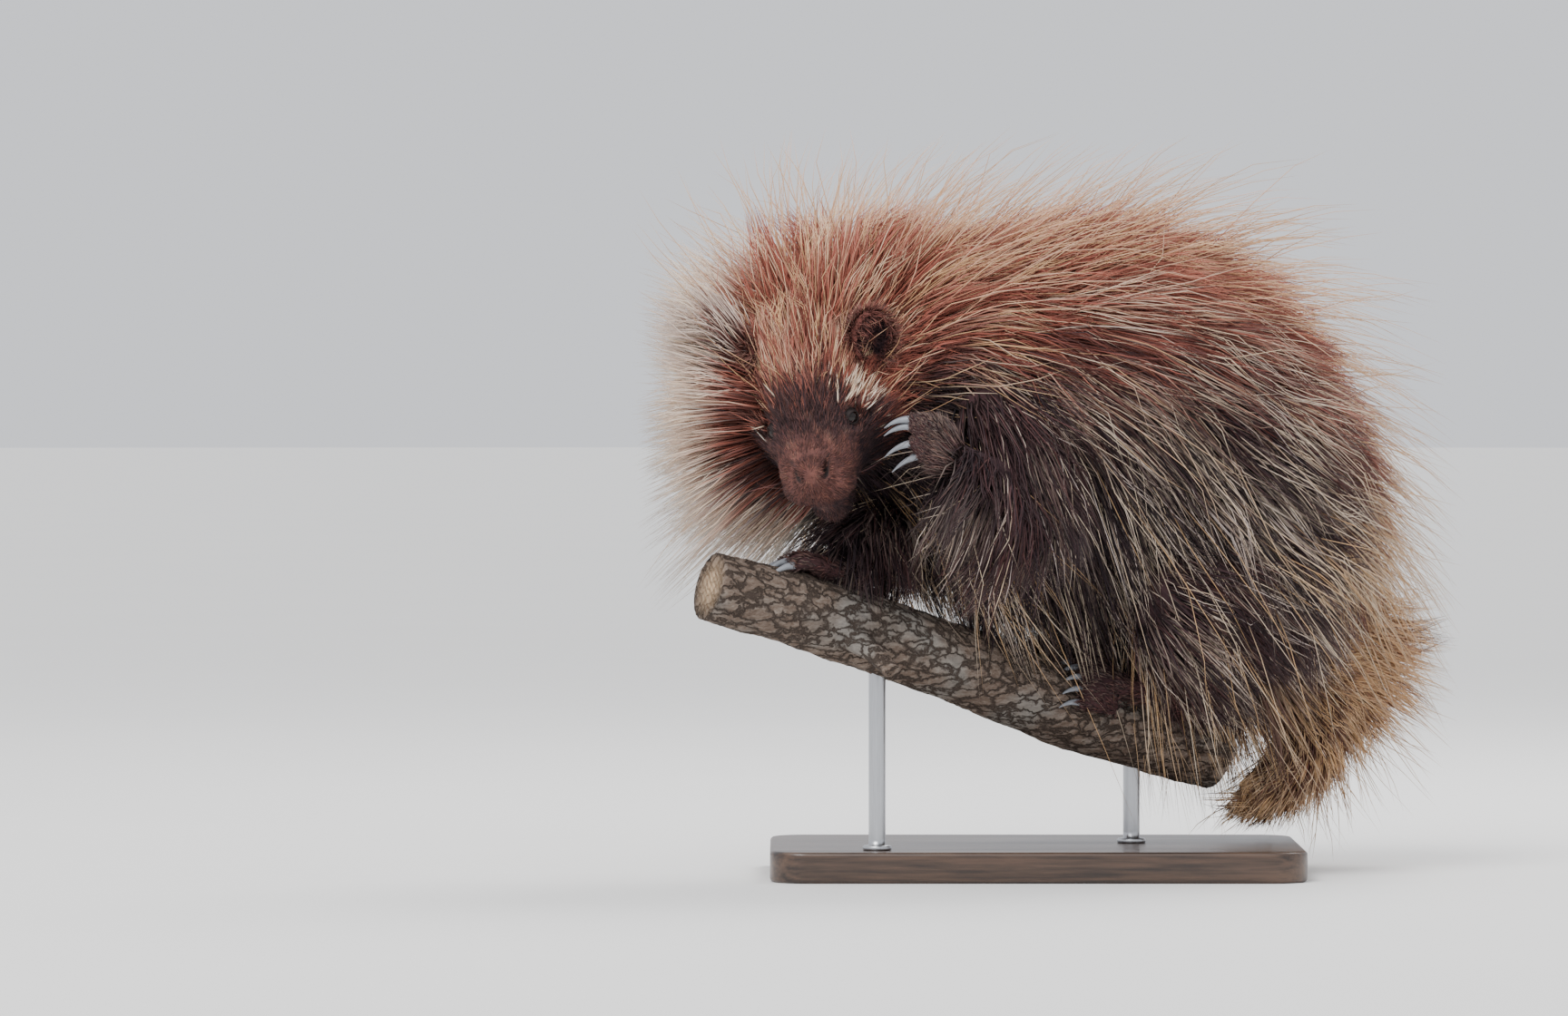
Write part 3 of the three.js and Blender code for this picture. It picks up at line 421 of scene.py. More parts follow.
hairMaterial = makeHairMaterial("coat_hair")
furMaterial = makeHairMaterial("short_fur", 0.7, 0.95)
ruffMaterial = makeHairMaterial("ruff_hair", 0.5, 1.0, ("ash", "cream"), 0.34)
goldMaterial = makeHairMaterial("golden_hair", 0.5, 1.0, ("gold", "straw"), 0.25)
quillMaterial = makeHairMaterial("quills", 0.45, 1.0, ("tan", "cream"), 0.15)
skinMaterial = makeSkinMaterial()
print("materials of the coat")


# The body's lines, as in the source

bodyHeading = 28  # the way the body faces, from -X towards -Y
trunkRows = {  # middle, heading, half sizes to the side, the top and below
    "at": [(-124, -108, 352), (-98, -76, 360), (-46, -46, 360), (20, -18, 362),
           (85, 16, 353), (138, 44, 302), (164, 59, 234), (184, 69, 180)],
    "heading": [72, 52, 34, 28, 28, 28, 28, 28],
    "sizes": [(42, 36, 54), (50, 46, 62), (62, 58, 74), (76, 68, 86),
              (84, 74, 92), (84, 70, 88), (74, 60, 78), (44, 34, 46)],
}
headRows = {  # in the head's own frame, nose to nape: x forward, z middle height and half sizes
    "centre": (-135, -140, 327),
    "forward": (-0.12, -0.86, -0.5),
    "left": (0.953, -0.241, 0.186),
    "rows": [(60, -16, 15, 12, 14), (51, -16, 25, 21, 26), (37, -12, 28, 25, 34), (20, -6, 34, 31, 41),
             (0, -2, 40, 36, 43), (-22, 0, 40, 38, 41), (-44, 3, 33, 33, 33)],
    "lumps": [((61, 0, -4), (7, 12, 9)), ((50, 12, -22), (15, 14, 12)), ((50, -12, -22), (15, 14, 12)),
              ((34, 0, -42), (20, 15, 13))],
    "ear": {"at": (-26, 47, 42), "radii": (12, 17, 20), "wall": 3.6,
            "rings": [(-12, 7, 8), (-8, 13, 15), (0, 17, 20), (5, 16, 19)]},  # depth, half width and height
}
eyeSizes = {
    "at": (22, 28, 9), "radius": 6.0, "sunk": 1.8, "opening": 4.3, "lid": 0.9,
    "dip": 2.5,  # how deep the skin lies inside the ball at the opening
    "steps": (-0.7, 0.5, 1.2, 4.5),  # from the opening to the lid's edge, in and out, its end and the face
    "front": (-9.0, -4.0),  # how far behind the ball's middle the shaping starts, and is whole
}
limbRows = {  # joints of each side, and the half sizes at the start, middle and end of each length
    "left": {"shoulder": (-12, -98, 338), "elbow": (14, -124, 266), "wrist": (-40, -156, 299),
             "hip": (182, 8, 222), "knee": (108, -52, 192), "ankle": (150, 0, 142)},
    "right": {"shoulder": (-70, 8, 336), "elbow": (-76, -16, 262), "wrist": (-113, -80, 241),
              "hip": (140, 96, 220), "knee": (50, 78, 190), "ankle": (104, 62, 134)},
    "upperArm": ("shoulder", "elbow", [(27, 32), (27, 29), (20, 22)]),
    "forearm": ("elbow", "wrist", [(17, 19), (16, 17), (12, 12)]),
    "thigh": ("hip", "knee", [(34, 50), (36, 46), (24, 27)]),
    "shank": ("knee", "ankle", [(20, 22), (18, 21), (13, 14)]),
}
tailRows = {
    "at": [(192, 73, 190), (212, 82, 150), (218, 78, 112), (206, 64, 80), (184, 44, 60)],
    "sizes": [(34, 30, 28), (30, 26, 23), (25, 21, 17), (19, 15, 12), (12, 9, 8)],
}
branchRows = {
    "at": [(-212, -134, 210), (-135, -100, 188), (-40, -56, 154), (50, -10, 117), (150, 42, 88)],
    "radii": [25, 27, 28, 29, 30],
    "twigs": [(0.3, 118, 34, 6), (0.62, -75, 44, 8), (0.9, 95, 26, 5)],  # place, angle, length, radius
}

bodyLeft = np.array(leftOf(bodyHeading))
trunk = Loft(trunkRows["at"], [leftOf(h) for h in trunkRows["heading"]], trunkRows["sizes"])
headForward = unit(np.array(headRows["forward"]))
headLeft = np.array(headRows["left"]) - headForward * dot(np.array(headRows["left"]), headForward)
headLeft = unit(headLeft)
headUp = np.cross(headForward, headLeft)
headAxes = np.stack([headForward, headLeft, headUp])
headCentre = np.array(headRows["centre"], float)

def inHead(points):  # the head's centre plus x forward, y to its left and z up its axes
    return headCentre + np.asarray(points, float) @ headAxes

head = Loft([inHead((x, 0, z)) for x, z, *_ in headRows["rows"]], headLeft,
            [sizes for _, _, *sizes in headRows["rows"]])
tail = Loft(tailRows["at"], leftOf(40), tailRows["sizes"])
branch = Loft(branchRows["at"], bodyLeft, [(r, r, r) for r in branchRows["radii"]])

def makeLimb(side, name):  # a straight length from joint to joint, with three ellipses along it
    start, end, sizes = limbRows[name]
    a, b = np.array(limbRows[side][start], float), np.array(limbRows[side][end], float)
    return Loft([a, (a + b) / 2, b], bodyLeft, [(w, t, t) for w, t in sizes])

def onBranch(v, angle, height):  # at a place along it, an angle from its top in degrees and a height
    return branch.point(np.array(v, float), np.radians(np.array(angle, float)), height)

# An ear faces forwards and outwards, and its tall axis leans outwards
def earAxes(side):
    out = unit(0.72 * headForward + side * 0.66 * headLeft)
    tall = headUp + side * 0.35 * headLeft
    tall = unit(tall - out * dot(tall, out))
    return out, np.cross(tall, out), tall

def earMiddle(side):  # an ear's place on the head, where its cup is widest
    x, y, z = headRows["ear"]["at"]
    return inHead((x, side * y, z))

# The cup: an ellipse carried from its back to its rim and down again inside, less the wall there
def earCup(side):
    out, across, tall = earAxes(side)
    deep, wide, high = headRows["ear"]["radii"]
    wall = headRows["ear"]["wall"]
    t = np.radians(np.concatenate([np.linspace(8, 112, 14), np.linspace(108, 20, 10)]))
    inner = np.concatenate([np.zeros(14), np.full(10, wall)])[:, None, None]
    depth = np.concatenate([-deep * np.cos(t[:14]), -0.62 * deep * np.cos(t[14:]) + 0.5])[:, None, None]
    a = circle(28)[None, :, None]
    size = np.sin(t)[:, None, None]
    ring = (across * np.cos(a) * (wide - inner) + tall * np.sin(a) * (high - inner)) * size
    return closeRings(earMiddle(side) + out * depth + ring)

def earLoft(side):  # the same ear as a loft from its back to its rim, for the lie of its hair
    out, across, _ = earAxes(side)
    rings = headRows["ear"]["rings"]
    return Loft([earMiddle(side) + out * deep for deep, _, _ in rings], across,
                [(wide, high, high) for _, wide, high in rings])


# Paws and claws

pawSizes = {
    "fore": {"toes": 4, "thick": 5.0, "claw": 22.0, "clawThick": 3.1},
    "hind": {"toes": 5, "thick": 5.4, "claw": 20.0, "clawThick": 2.8},
    "toeTaper": (1.1, 1.08, 0.95, 0.6), "clawTaper": (0.85, 0.92, 0.8, 0.62, 0.4, 0.1),
    "clawFlat": 0.78, "clawDrop": 0.42, "clawHidden": 0.12,  # the last two as shares of its length
    "knuckles": (-58, -163, 312),  # of the raised hand, with the steps to a toe's knuckle and tip
    "toKnuckle": (-11, -5, 6), "toTip": (-8, 3, -1),
    "spreads": [(-15, 15), (-6.5, 6), (5.5, 0), (10, -2)],  # each raised toe across the hand, and back
    "fan": (0.45, -0.25, 0.86),
    # a toe on the branch, from base to claw: along it, share of the toe's spread, height over the bark
    "grip": [(-0.01, 1, 7), (0.025, 1.1, 9.5), (0.05, 1.2, 5), (0.1, 1.25, 1.5)],
    # each paw's heel and toes along the branch, how far round it, the joint above and the kind
    "grips": {
        "hand_right": (0.31, 0.22, -8, "wrist", "fore"),
        "foot_left": (0.93, 0.76, 50, "ankle", "hind"),
        "foot_right": (0.86, 0.69, -48, "ankle", "hind"),
    },
}
fleshPieces, clawPieces, toeTips, pawLofts = [], [], [], {}

# A toe is a tube through its knuckle; its claw is a curved cone that drops by a power of the way along
def addToe(base, knuckle, tip, way, kind):
    size = pawSizes[kind]
    thick, long, root = size["thick"], size["claw"], size["clawThick"]
    way = unit(np.asarray(way, float))
    widths = [thick * share for share in pawSizes["toeTaper"]]
    fleshPieces.append(tube([base, knuckle, tip, tip + way * 2], widths))
    t = np.linspace(0, 1, len(pawSizes["clawTaper"]))[:, None]
    drop = np.array([0, 0, 1]) * long * pawSizes["clawDrop"] * t ** 2.2
    line = tip + way * (long * (t - pawSizes["clawHidden"])) - drop
    clawPieces.append(tube(line, root * np.array(pawSizes["clawTaper"]), 12, 22, flat=pawSizes["clawFlat"]))
    toeTips.append(tip)

wrist, knuckles = np.array(limbRows["left"]["wrist"], float), np.array(pawSizes["knuckles"], float)
palm = Loft([wrist, mixed(wrist, knuckles, 0.55), knuckles], bodyLeft,
            [(11, 12, 12), (9, 16, 15), (8, 15, 15)])
pawLofts["hand_left"] = palm
fleshPieces.append(palm.surface(rings=10, domes=(5, 6)))
for spread, back in pawSizes["spreads"]:
    base = knuckles + np.array(pawSizes["fan"]) * spread + [3 + back, 0, 0]
    knuckle = base + pawSizes["toKnuckle"]
    tip = knuckle + pawSizes["toTip"] + [0, 0, 0.15 * spread]
    addToe(base, knuckle, tip, (-1, 0.16, 0.05 + 0.012 * spread), "fore")

for name, (heelAt, toeAt, angle, joint, kind) in pawSizes["grips"].items():
    side = name.split("_")[1]
    t = np.array([0, 0.5, 1])
    high = mixed(10, 8, t)
    middle = np.array([onBranch(mixed(heelAt, toeAt, s), angle, mixed(10, 8, s) - 2) for s in t])
    sole = Loft(middle, bodyLeft, np.stack([mixed(12, 17, t), high, high], -1))
    pawLofts[name] = sole
    fleshPieces.append(sole.surface(rings=10, domes=(10, 6)))
    heel = onBranch(mixed(heelAt, toeAt, 0.12), angle, 9)
    ankle = np.array(limbRows[side][joint], float)
    fleshPieces.append(tube([ankle, (ankle + heel) / 2, heel], [13, 12, 11], 20, 10))
    toes = pawSizes[kind]["toes"]
    step = math.copysign(1, toeAt - heelAt)
    for i in range(toes):
        spread = (i - (toes - 1) / 2) * (15 + 3 * (5 - toes))
        base, knuckle, tip, end = [onBranch(toeAt + step * f, angle + spread * g, high)
                                   for f, g, high in pawSizes["grip"]]
        addToe(base, knuckle, tip, end - tip, kind)


# Skin: every length of flesh joined, remeshed as one surface and smoothed

skinSizes = {
    "voxel": 2.9, "smoothing": 6,
    "faceFrom": 4.0, "muzzleFrom": 30.0,  # cut finer forward of these, and again within aroundEye
    "aroundEye": 17, "bareTo": {"eye": (6.6, 8.0), "nostril": (3.0, 5.0), "mouth": (2.5, 5.0)},
    "reach": 110, "steps": 48, "dome": 14,  # how near parts are looked for, steps of a line, its dome
}

partLofts = {"trunk": trunk, "head": head, "tail": tail, "ear_left": earLoft(1), "ear_right": earLoft(-1)}
partKinds = {"trunk": "trunk", "head": "head", "tail": "tail", "ear_left": "ear", "ear_right": "ear"}
for side in ("left", "right"):
    for name, kind in (("upperArm", "arm"), ("forearm", "arm"), ("thigh", "leg"), ("shank", "leg")):
        partLofts[name + "_" + side] = makeLimb(side, name)
        partKinds[name + "_" + side] = kind
for name, loft in pawLofts.items():
    partLofts[name] = loft
    partKinds[name] = "paw"
partNames = list(partLofts)
kindOf = np.array([partKinds[name] for name in partNames])

def gatherFlesh():  # trunk, head, tail, limbs, lumps, ears and paws as one set of closed surfaces
    pieces = list(fleshPieces)
    pieces.append(trunk.surface(rings=48, sides=48, domes=(18, 22)))
    pieces.append(head.surface(rings=32, sides=40, domes=(9, 16)))
    pieces.append(tail.surface(rings=24, sides=28, domes=(0, 9)))
    for name in partNames:
        if partKinds[name] in ("arm", "leg"):
            pieces.append(partLofts[name].surface(rings=16, sides=28, domes=(14, 12)))
    for centre, radii in headRows["lumps"]:
        pieces.append(lump(inHead(centre), radii, headAxes))
    pieces += [earCup(1), earCup(-1)]
    return joined(pieces)

def vertexArray(mesh):  # the vertices in the source's millimetres
    co = np.empty(len(mesh.vertices) * 3, np.float32)
    mesh.vertices.foreach_get("co", co)
    return co.reshape(-1, 3).astype(float) * 1000 - shift

def remeshed(source):  # one closed surface of squares the size of a voxel, smoothed
    remesh = source.modifiers.new("remesh", "REMESH")
    remesh.mode, remesh.voxel_size = "VOXEL", skinSizes["voxel"] * 0.001
    smooth = source.modifiers.new("smooth", "SMOOTH")
    smooth.factor, smooth.iterations = 0.5, skinSizes["smoothing"]
    made = bpy.data.meshes.new_from_object(source.evaluated_get(bpy.context.evaluated_depsgraph_get()))
    bpy.data.objects.remove(source)
    return made

def refine(mesh, chosen):  # cuts the quads in two each way where all their corners are chosen
    work = bmesh.new()
    work.from_mesh(mesh)
    edges = [e for e in work.edges if chosen[e.verts[0].index] and chosen[e.verts[1].index]]
    bmesh.ops.subdivide_edges(work, edges=edges, cuts=1, use_grid_fill=True, smooth=0.6)
    work.to_mesh(mesh)
    work.free()

def headPlaces(points):  # products with the head's axes: forward, left and up from its centre
    return (points - headCentre) @ headAxes.T

def eyeFrame(side):  # the middle of an eyeball, sunk from its place, and the way it looks out
    x, y, z = eyeSizes["at"]
    out = unit(side * 0.8 * headLeft + 0.57 * headForward + 0.15 * headUp)
    return inHead((x, side * y, z)) - out * eyeSizes["sunk"], out

def lineGap(points, line, count=60):  # from each point to the nearest of many along a smooth line
    along = through(line, np.linspace(0, len(line) - 1, count))
    return np.linalg.norm(points[:, None] - along[None], axis=-1).min(1)

def nostrilLine(side):  # a comma, from beside the cleft out and up
    return [(61, side * 6.0, -12), (64, side * 9.0, -6), (62, side * 12.6, -1), (58, side * 15.0, 2)]

faceSizes = {  # how deep and how wide each furrow is, and how high and how far off its rim
    "nostril": (6.5, 2.3), "nostrilRim": (1.2, 4.8, 2.2),
    "cleft": (2.2, 1.8),
    "mouth": (3.0, 1.5), "lips": (1.1, 3.6, 2.2),
    "brow": (2.0, 11.0, 4.5), "lidFold": (0.5, 2.6, 0.9),
    "bareEye": 6.9, "bareNostril": 3.4, "bareLips": 1.6,  # no hair is rooted nearer than this
}
cleftLine = [(70, 0, -8), (70, 0, -18), (67, 0, -32)]
mouthMiddle = np.array([24.0, 0.0, -30.0])
lipLine = [(30, 30, -34), (42, 27, -35), (54, 21, -36), (63, 11, -34), (66, 0, -33),
           (63, -11, -34), (54, -21, -36), (42, -27, -35), (30, -30, -34)]

def furrow(key, gap):  # a bell of the distance to its line, times its depth
    deep, wide = faceSizes[key]
    return deep * bell(gap, wide)

def rim(key, gap):  # a bell round the line, at some way off it, times its height
    high, off, wide = faceSizes[key]
    return high * bell(gap - off, wide)

# The nose and mouth: sunk nostrils under a soft rim, a cleft, and a mouth line between lips
def sculptMuzzle(points):
    places = headPlaces(points)
    near = (places[:, 0] > -8) & (np.abs(places[:, 1]) < 60) & (np.abs(places[:, 2]) < 70)
    p = places[near]
    for side in (1, -1):
        gap = lineGap(p, nostrilLine(side))
        p -= np.array([0.86, side * 0.5, 0.0]) * furrow("nostril", gap)[:, None]
        p += np.array([0.8, side * 0.5, 0.2]) * rim("nostrilRim", gap)[:, None]
    p[:, 0] -= furrow("cleft", lineGap(p, cleftLine))
    gap = lineGap(p, lipLine)
    inward = unit(mouthMiddle - p)
    p += inward * (furrow("mouth", gap) - rim("lips", gap))[:, None]
    places[near] = p
    points[:] = headCentre + places @ headAxes

# The eyes: the skin becomes a lid, a sphere just outside the ball that dips inside it at the opening,
# under a raised brow and with a fold round it
def sculptEyes(points):
    for side in (1, -1):
        centre, out = eyeFrame(side)
        q = points - centre
        high = (q @ out)[:, None]
        flat = q - high * out
        r = np.linalg.norm(flat, axis=1)[:, None]
        tallness = (flat @ headUp)[:, None] / np.maximum(r, 0.01)
        opening = eyeSizes["opening"] * (1 - 0.2 * tallness ** 2)
        ball = eyeSizes["radius"]
        over = np.sqrt(np.maximum((ball + eyeSizes["lid"]) ** 2 - r ** 2, 0.0))
        sunk = np.sqrt(np.maximum(ball ** 2 - r ** 2, 0.0)) - eyeSizes["dip"]
        inner, outer, lidEnd, faceFrom = [opening + step for step in eyeSizes["steps"]]
        lid = mixed(sunk, np.maximum(over, 1.2), ramp(r, inner, outer))
        front = ramp(high, *eyeSizes["front"])
        share = (1 - ramp(r, lidEnd, faceFrom)) * front
        raised = rim("brow", r) * front
        fold = rim("lidFold", r - opening) * front
        points += out * (raised + (lid - high - raised) * share - fold)

# Distances from each point to the nearer eye's middle, the nearer nostril and the mouth line
def faceGaps(points):
    eye = np.min([np.linalg.norm(points - eyeFrame(side)[0], axis=1) for side in (1, -1)], axis=0)
    nostril = np.min([lineGap(points, inHead(nostrilLine(side))) for side in (1, -1)], axis=0)
    return eye, nostril, lineGap(points, inHead(lipLine))

# For each point: the part whose surface runs nearest, and its place along and round that part
def locate(points):
    n, reach, steps = len(points), skinSizes["reach"], skinSizes["steps"]
    best, part, place, about = np.full(n, 1e9), np.zeros(n, int), np.zeros(n), np.zeros(n)
    for k, name in enumerate(partNames):
        loft = partLofts[name]
        low, high = loft.at.min(0) - reach, loft.at.max(0) + reach
        near = np.flatnonzero(np.all((points > low) & (points < high), axis=1))
        v = np.linspace(0, 1, steps + 1)
        line, along = loft.frame(v)[:2]
        for chunk in np.array_split(near, max(1, len(near) // 20000)):
            p = points[chunk]
            away = (p ** 2).sum(1)[:, None] + (line ** 2).sum(1) - 2 * p @ line.T
            i = away.argmin(1)
            long = np.linalg.norm(np.gradient(line, axis=0), axis=1)[i] * steps
            w = np.clip(v[i] + dot(p - line[i], along[i])[:, 0] / np.maximum(long, 1), 0, 1)
            at, way, left, up, sizes = loft.frame(w)
            q = p - at
            x, z, end = dot(q, left)[:, 0] / sizes[:, 0], dot(q, up)[:, 0], dot(q, way)[:, 0]
            z = z / np.where(z > 0, sizes[:, 1], sizes[:, 2])
            past = end / skinSizes["dome"]
            off = np.abs(np.sqrt(x ** 2 + z ** 2 + past ** 2) - 1) * sizes[:, 0]
            better = off < best[chunk]
            c = chunk[better]
            best[c], part[c], place[c], about[c] = off[better], k, w[better], np.arctan2(x, z)[better]
    return part, place, about

# The face is cut finer than the body, and the muzzle and the lids finer again, before they are shaped
points, quads, tris = gatherFlesh()
skinMesh = remeshed(makeObject("flesh", points, quads, tris, None))
for edge in (skinSizes["faceFrom"], skinSizes["muzzleFrom"]):
    places = headPlaces(vertexArray(skinMesh))
    onFace = (places[:, 0] > edge) & (np.abs(places[:, 2] + 10) < 55)
    for side in (1, -1):
        toEye = np.linalg.norm(vertexArray(skinMesh) - eyeFrame(side)[0], axis=1)
        onFace |= toEye < skinSizes["aroundEye"]
    refine(skinMesh, onFace)
skinPoints = vertexArray(skinMesh)
sculptMuzzle(skinPoints)
sculptEyes(skinPoints)
skinMesh.vertices.foreach_set("co", toScene(skinPoints).astype(np.float32).ravel())
skinMesh.polygons.foreach_set("use_smooth", np.ones(len(skinMesh.polygons), bool))
skinMesh.update()
skinMesh.materials.clear()
skinMesh.materials.append(skinMaterial)
skin = bpy.data.objects.new("skin", skinMesh)
bpy.context.collection.objects.link(skin)
skinPart, skinV, skinA = locate(skinPoints)
for key, values in mottle(markings(skinPart, skinV, skinA), skinPoints, kindOf[skinPart] == "head").items():
    setFloat(skinMesh, key, values)
steps = zip(faceGaps(skinPoints), skinSizes["bareTo"].values())  # the lids, nostrils and lips are bare
setFloat(skinMesh, "bare", 1 - np.min([ramp(gap, *edges) for gap, edges in steps], axis=0))
fleshNodes = [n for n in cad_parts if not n.startswith(("eye_", "perch_", "stand_"))]
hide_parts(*fleshNodes)
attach(skin, "root")
print("skin", len(skinMesh.polygons), "faces")


# Eyes and claws

# Almost black and wet, with a faint brown cloud
def makeEyeMaterial():
    material, here, feed = startMaterial("eye_dark", {"Specular IOR Level": 0.35})
    cloud = noise(here, 500.0)
    feed("Base Color", cloud.blend((0.003, 0.002, 0.002), (0.014, 0.008, 0.006)))
    feed("Roughness", 0.06 + 0.05 * cloud)
    return material

# Grey horn, streaked along the claw
def makeClawMaterial():
    material, here, feed = startMaterial("claw_horn", {"Specular IOR Level": 0.5})
    streaks = noise(stretched(here, (0.35, 1.0, 1.0)), 900.0, 4.0)
    feed("Base Color", streaks.blend((0.12, 0.125, 0.14), (0.33, 0.345, 0.38)))
    feed("Roughness", 0.32 + 0.2 * streaks)
    feed("Normal", bump(streaks, 0.3, 0.0004))
    return material

eyeMaterial, clawMaterial = makeEyeMaterial(), makeClawMaterial()
for side, name in ((1, "eye_left"), (-1, "eye_right")):
    centre, out = eyeFrame(side)
    across = unit(np.cross(headUp, out))
    ball = lump(centre, (eyeSizes["radius"],) * 3, (out, across, np.cross(out, across)), 26, 36)
    eye = makeObject(name + "_ball", *ball, eyeMaterial)
    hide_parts(name)
    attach(eye, "root")
claws = makeObject("claws", *joined(clawPieces), clawMaterial)
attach(claws, "root")
print("eyes and claws")


# Coat: hairs are three-sided blades rooted in the skin

coatSizes = {
    "roots": 340000, "faceBoost": 3.2,  # the face has so many times as many roots for its area
    "seed": 7,
    "patch": 0.003,  # a hair's share of the unwrapped coat
    "proud": (17.0, 12.0, 15.0),  # how far hair may leave the source's box along each axis
    "clear": 3.0, "besideBase": 6,  # its least height over the floor, or the base and this far beside it
    # hair that is rooted so far over this depth under the branch's axis ends above it, up to this x
    "rootOver": 12, "underBranch": 24, "branchUntil": 90,
    # from the second distance to the first, hair gets shorter, down to this share of its length
    "nearEar": (20, 46), "nearEye": (4, 14), "nearest": 0.3,
    "atTemple": 0.6,  # the share of its length that hair loses in the middle of the temple
    "lockTint": 0.5, "lockPower": 1.3,  # a lock's share in its hairs' tint, and how late it gathers them
    "streaks": (0.4, 0.85), "streaked": 2.6,  # the draws between which a lock turns pale, and how pale
    "uneven": 0.12,  # the normal spread of each hair's marks
}

# Roots are thrown over the skin in proportion to its area, and closer on the face
def throwRoots(count, seed):
    dice = np.random.default_rng(seed)
    mesh = skinMesh
    mesh.calc_loop_triangles()
    corners = np.empty(len(mesh.loop_triangles) * 3, np.int32)
    mesh.loop_triangles.foreach_get("vertices", corners)
    corners = corners.reshape(-1, 3)
    normals = np.empty(len(mesh.vertices) * 3, np.float32)
    mesh.vertex_normals.foreach_get("vector", normals)
    normals = normals.reshape(-1, 3).astype(float)
    a, b, c = [skinPoints[corners[:, i]] for i in range(3)]
    area = np.linalg.norm(np.cross(b - a, c - a), axis=1) / 2
    middle = headPlaces((a + b + c) / 3)
    onFace = (middle[:, 0] > -8) & (np.abs(middle[:, 1]) < 50) & (np.abs(middle[:, 2] + 10) < 60)
    weight = area * np.where(onFace, coatSizes["faceBoost"], 1.0)
    chosen = dice.choice(len(area), count, p=weight / weight.sum())
    s, t = dice.random((2, count, 1))
    s, t = np.where(s + t > 1, 1 - s, s), np.where(s + t > 1, 1 - t, t)
    at = a[chosen] + s * (b - a)[chosen] + t * (c - a)[chosen]
    n0, n1, n2 = [normals[corners[chosen, i]] for i in range(3)]
    out = unit(n0 * (1 - s - t) + n1 * s + n2 * t)
    print("skin area", round(area.sum() / 1e6, 3), "square metres")
    return at, out, count / weight.sum() * (weight / area)[chosen]

rootAt, rootOut, rootDensity = throwRoots(coatSizes["roots"], coatSizes["seed"])
rootPart, rootV, rootA = locate(rootAt)
rootAlong = np.zeros_like(rootAt)
for k, name in enumerate(partNames):
    mine = rootPart == k
    rootAlong[mine] = partLofts[name].lay(rootV[mine], rootA[mine])
rootKind = kindOf[rootPart]
onTrunk, onHead = rootKind == "trunk", rootKind == "head"
dice = np.random.default_rng(coatSizes["seed"] + 1)
stray = 0.03 + 0.03 * onHead
strayV, strayA = stray * dice.normal(size=len(rootV)), 0.12 * dice.normal(size=len(rootV))
rootMarks = markings(rootPart, rootV + strayV, rootA + strayA)
rootMarks = mottle(rootMarks, rootAt, onHead)
toEye, toNostril, toMouth = faceGaps(rootAt)
haired = (toEye >= faceSizes["bareEye"]) & (toNostril >= faceSizes["bareNostril"])
haired &= toMouth >= faceSizes["bareLips"]
rootPlace = headPlaces(rootAt)
earGap = np.linalg.norm(rootPlace - np.array(headRows["ear"]["at"]), axis=1)
eyeGap = np.full(len(rootAt), 99.0)  # to an eye, or less in front of it, where fur would lie over it
for side in (1, -1):
    centre = headPlaces(eyeFrame(side)[0])
    gap = np.linalg.norm((rootPlace - centre) * [1, 1.25, 1], axis=1)
    eyeGap = np.minimum(eyeGap, gap - 7.0 * ramp(rootPlace[:, 0] - centre[0], 0, 8))

# The temples carry quills close above and behind the eyes, most of them on the left
temple = onHead * bell(rootV - 0.615, 0.085) * bell(np.abs(rootA) - 1.0, 0.4)
temple = temple * np.where(rootA > 0, 1, 0.2)

flowSizes = {  # how steeply hair falls as it runs back, in degrees, or the way it runs
    "back": 4, "shoulder": 72, "flank": 36, "rump": 38, "leg": 36.0, "arm": 70.0,
    "forearm": (-0.34, 0.0, -0.94), "tail": (0.90, 0.30, -0.30),
}
bodyBack = np.array([math.cos(math.radians(bodyHeading)), math.sin(math.radians(bodyHeading)), 0.0])

# The way the coat lies: back and down over the trunk and thighs, steeper towards the arms and belly,
# level on the back, and down the arms
def flowOf(kind, v, a):
    low = ramp(-np.cos(a), -0.95, 0.45)
    side = mixed(flowSizes["shoulder"], flowSizes["flank"], ramp(v, 0.24, 0.58))
    slope = mixed(mixed(flowSizes["back"], side, low), flowSizes["rump"], ramp(v, 0.7, 0.85))
    slope = np.select([kind == "leg", kind == "arm"], [flowSizes["leg"], flowSizes["arm"]], slope)
    slope = np.radians(slope)[:, None]
    return bodyBack * np.cos(slope) - np.array([0, 0, 1.0]) * np.sin(slope)

# On the legs and the raised arm it grows out to the side, so that it doesn't part over their joints
onLeft = np.char.endswith(np.array(partNames)[rootPart], "_left")
limbSide = np.where(onLeft, 1, -1) * (rootKind == "leg") + onLeft * (rootKind == "arm")
growOut = unit(rootOut + 0.9 * limbSide[:, None] * bodyLeft)

# The share of that way in each part; the rest runs along the part, as on the head, ears and paws
inFlow = np.select([onTrunk, rootKind == "leg", rootKind == "arm", rootKind == "tail"],
                   [ramp(rootV, 0.10, 0.26), 1.0, 0.85, 0.85 * (1 - ramp(rootV, 0.3, 0.75))], 0.0)
isForearm = np.char.startswith(np.array(partNames)[rootPart], "forearm")[:, None]
flow = np.where(isForearm, np.array(flowSizes["forearm"]), flowOf(rootKind, rootV, rootA))
flow = np.where((rootKind == "tail")[:, None], np.array(flowSizes["tail"]), flow)

# On the muzzle the fur parts at the tip of the nose
fromTip = (rootPlace - [72.0, 0.0, -4.0]) @ headAxes
parted = mixed(unit(fromTip), rootAlong, ramp(rootV, 0.1, 0.3)[:, None])
rootAlong = np.where((onHead & (rootV < 0.3))[:, None], parted, rootAlong)
rootAlong = mixed(rootAlong, flow, inFlow[:, None])
rootAlong = unit(rootAlong - growOut * dot(rootAlong, growOut))
print("roots", len(rootAt))

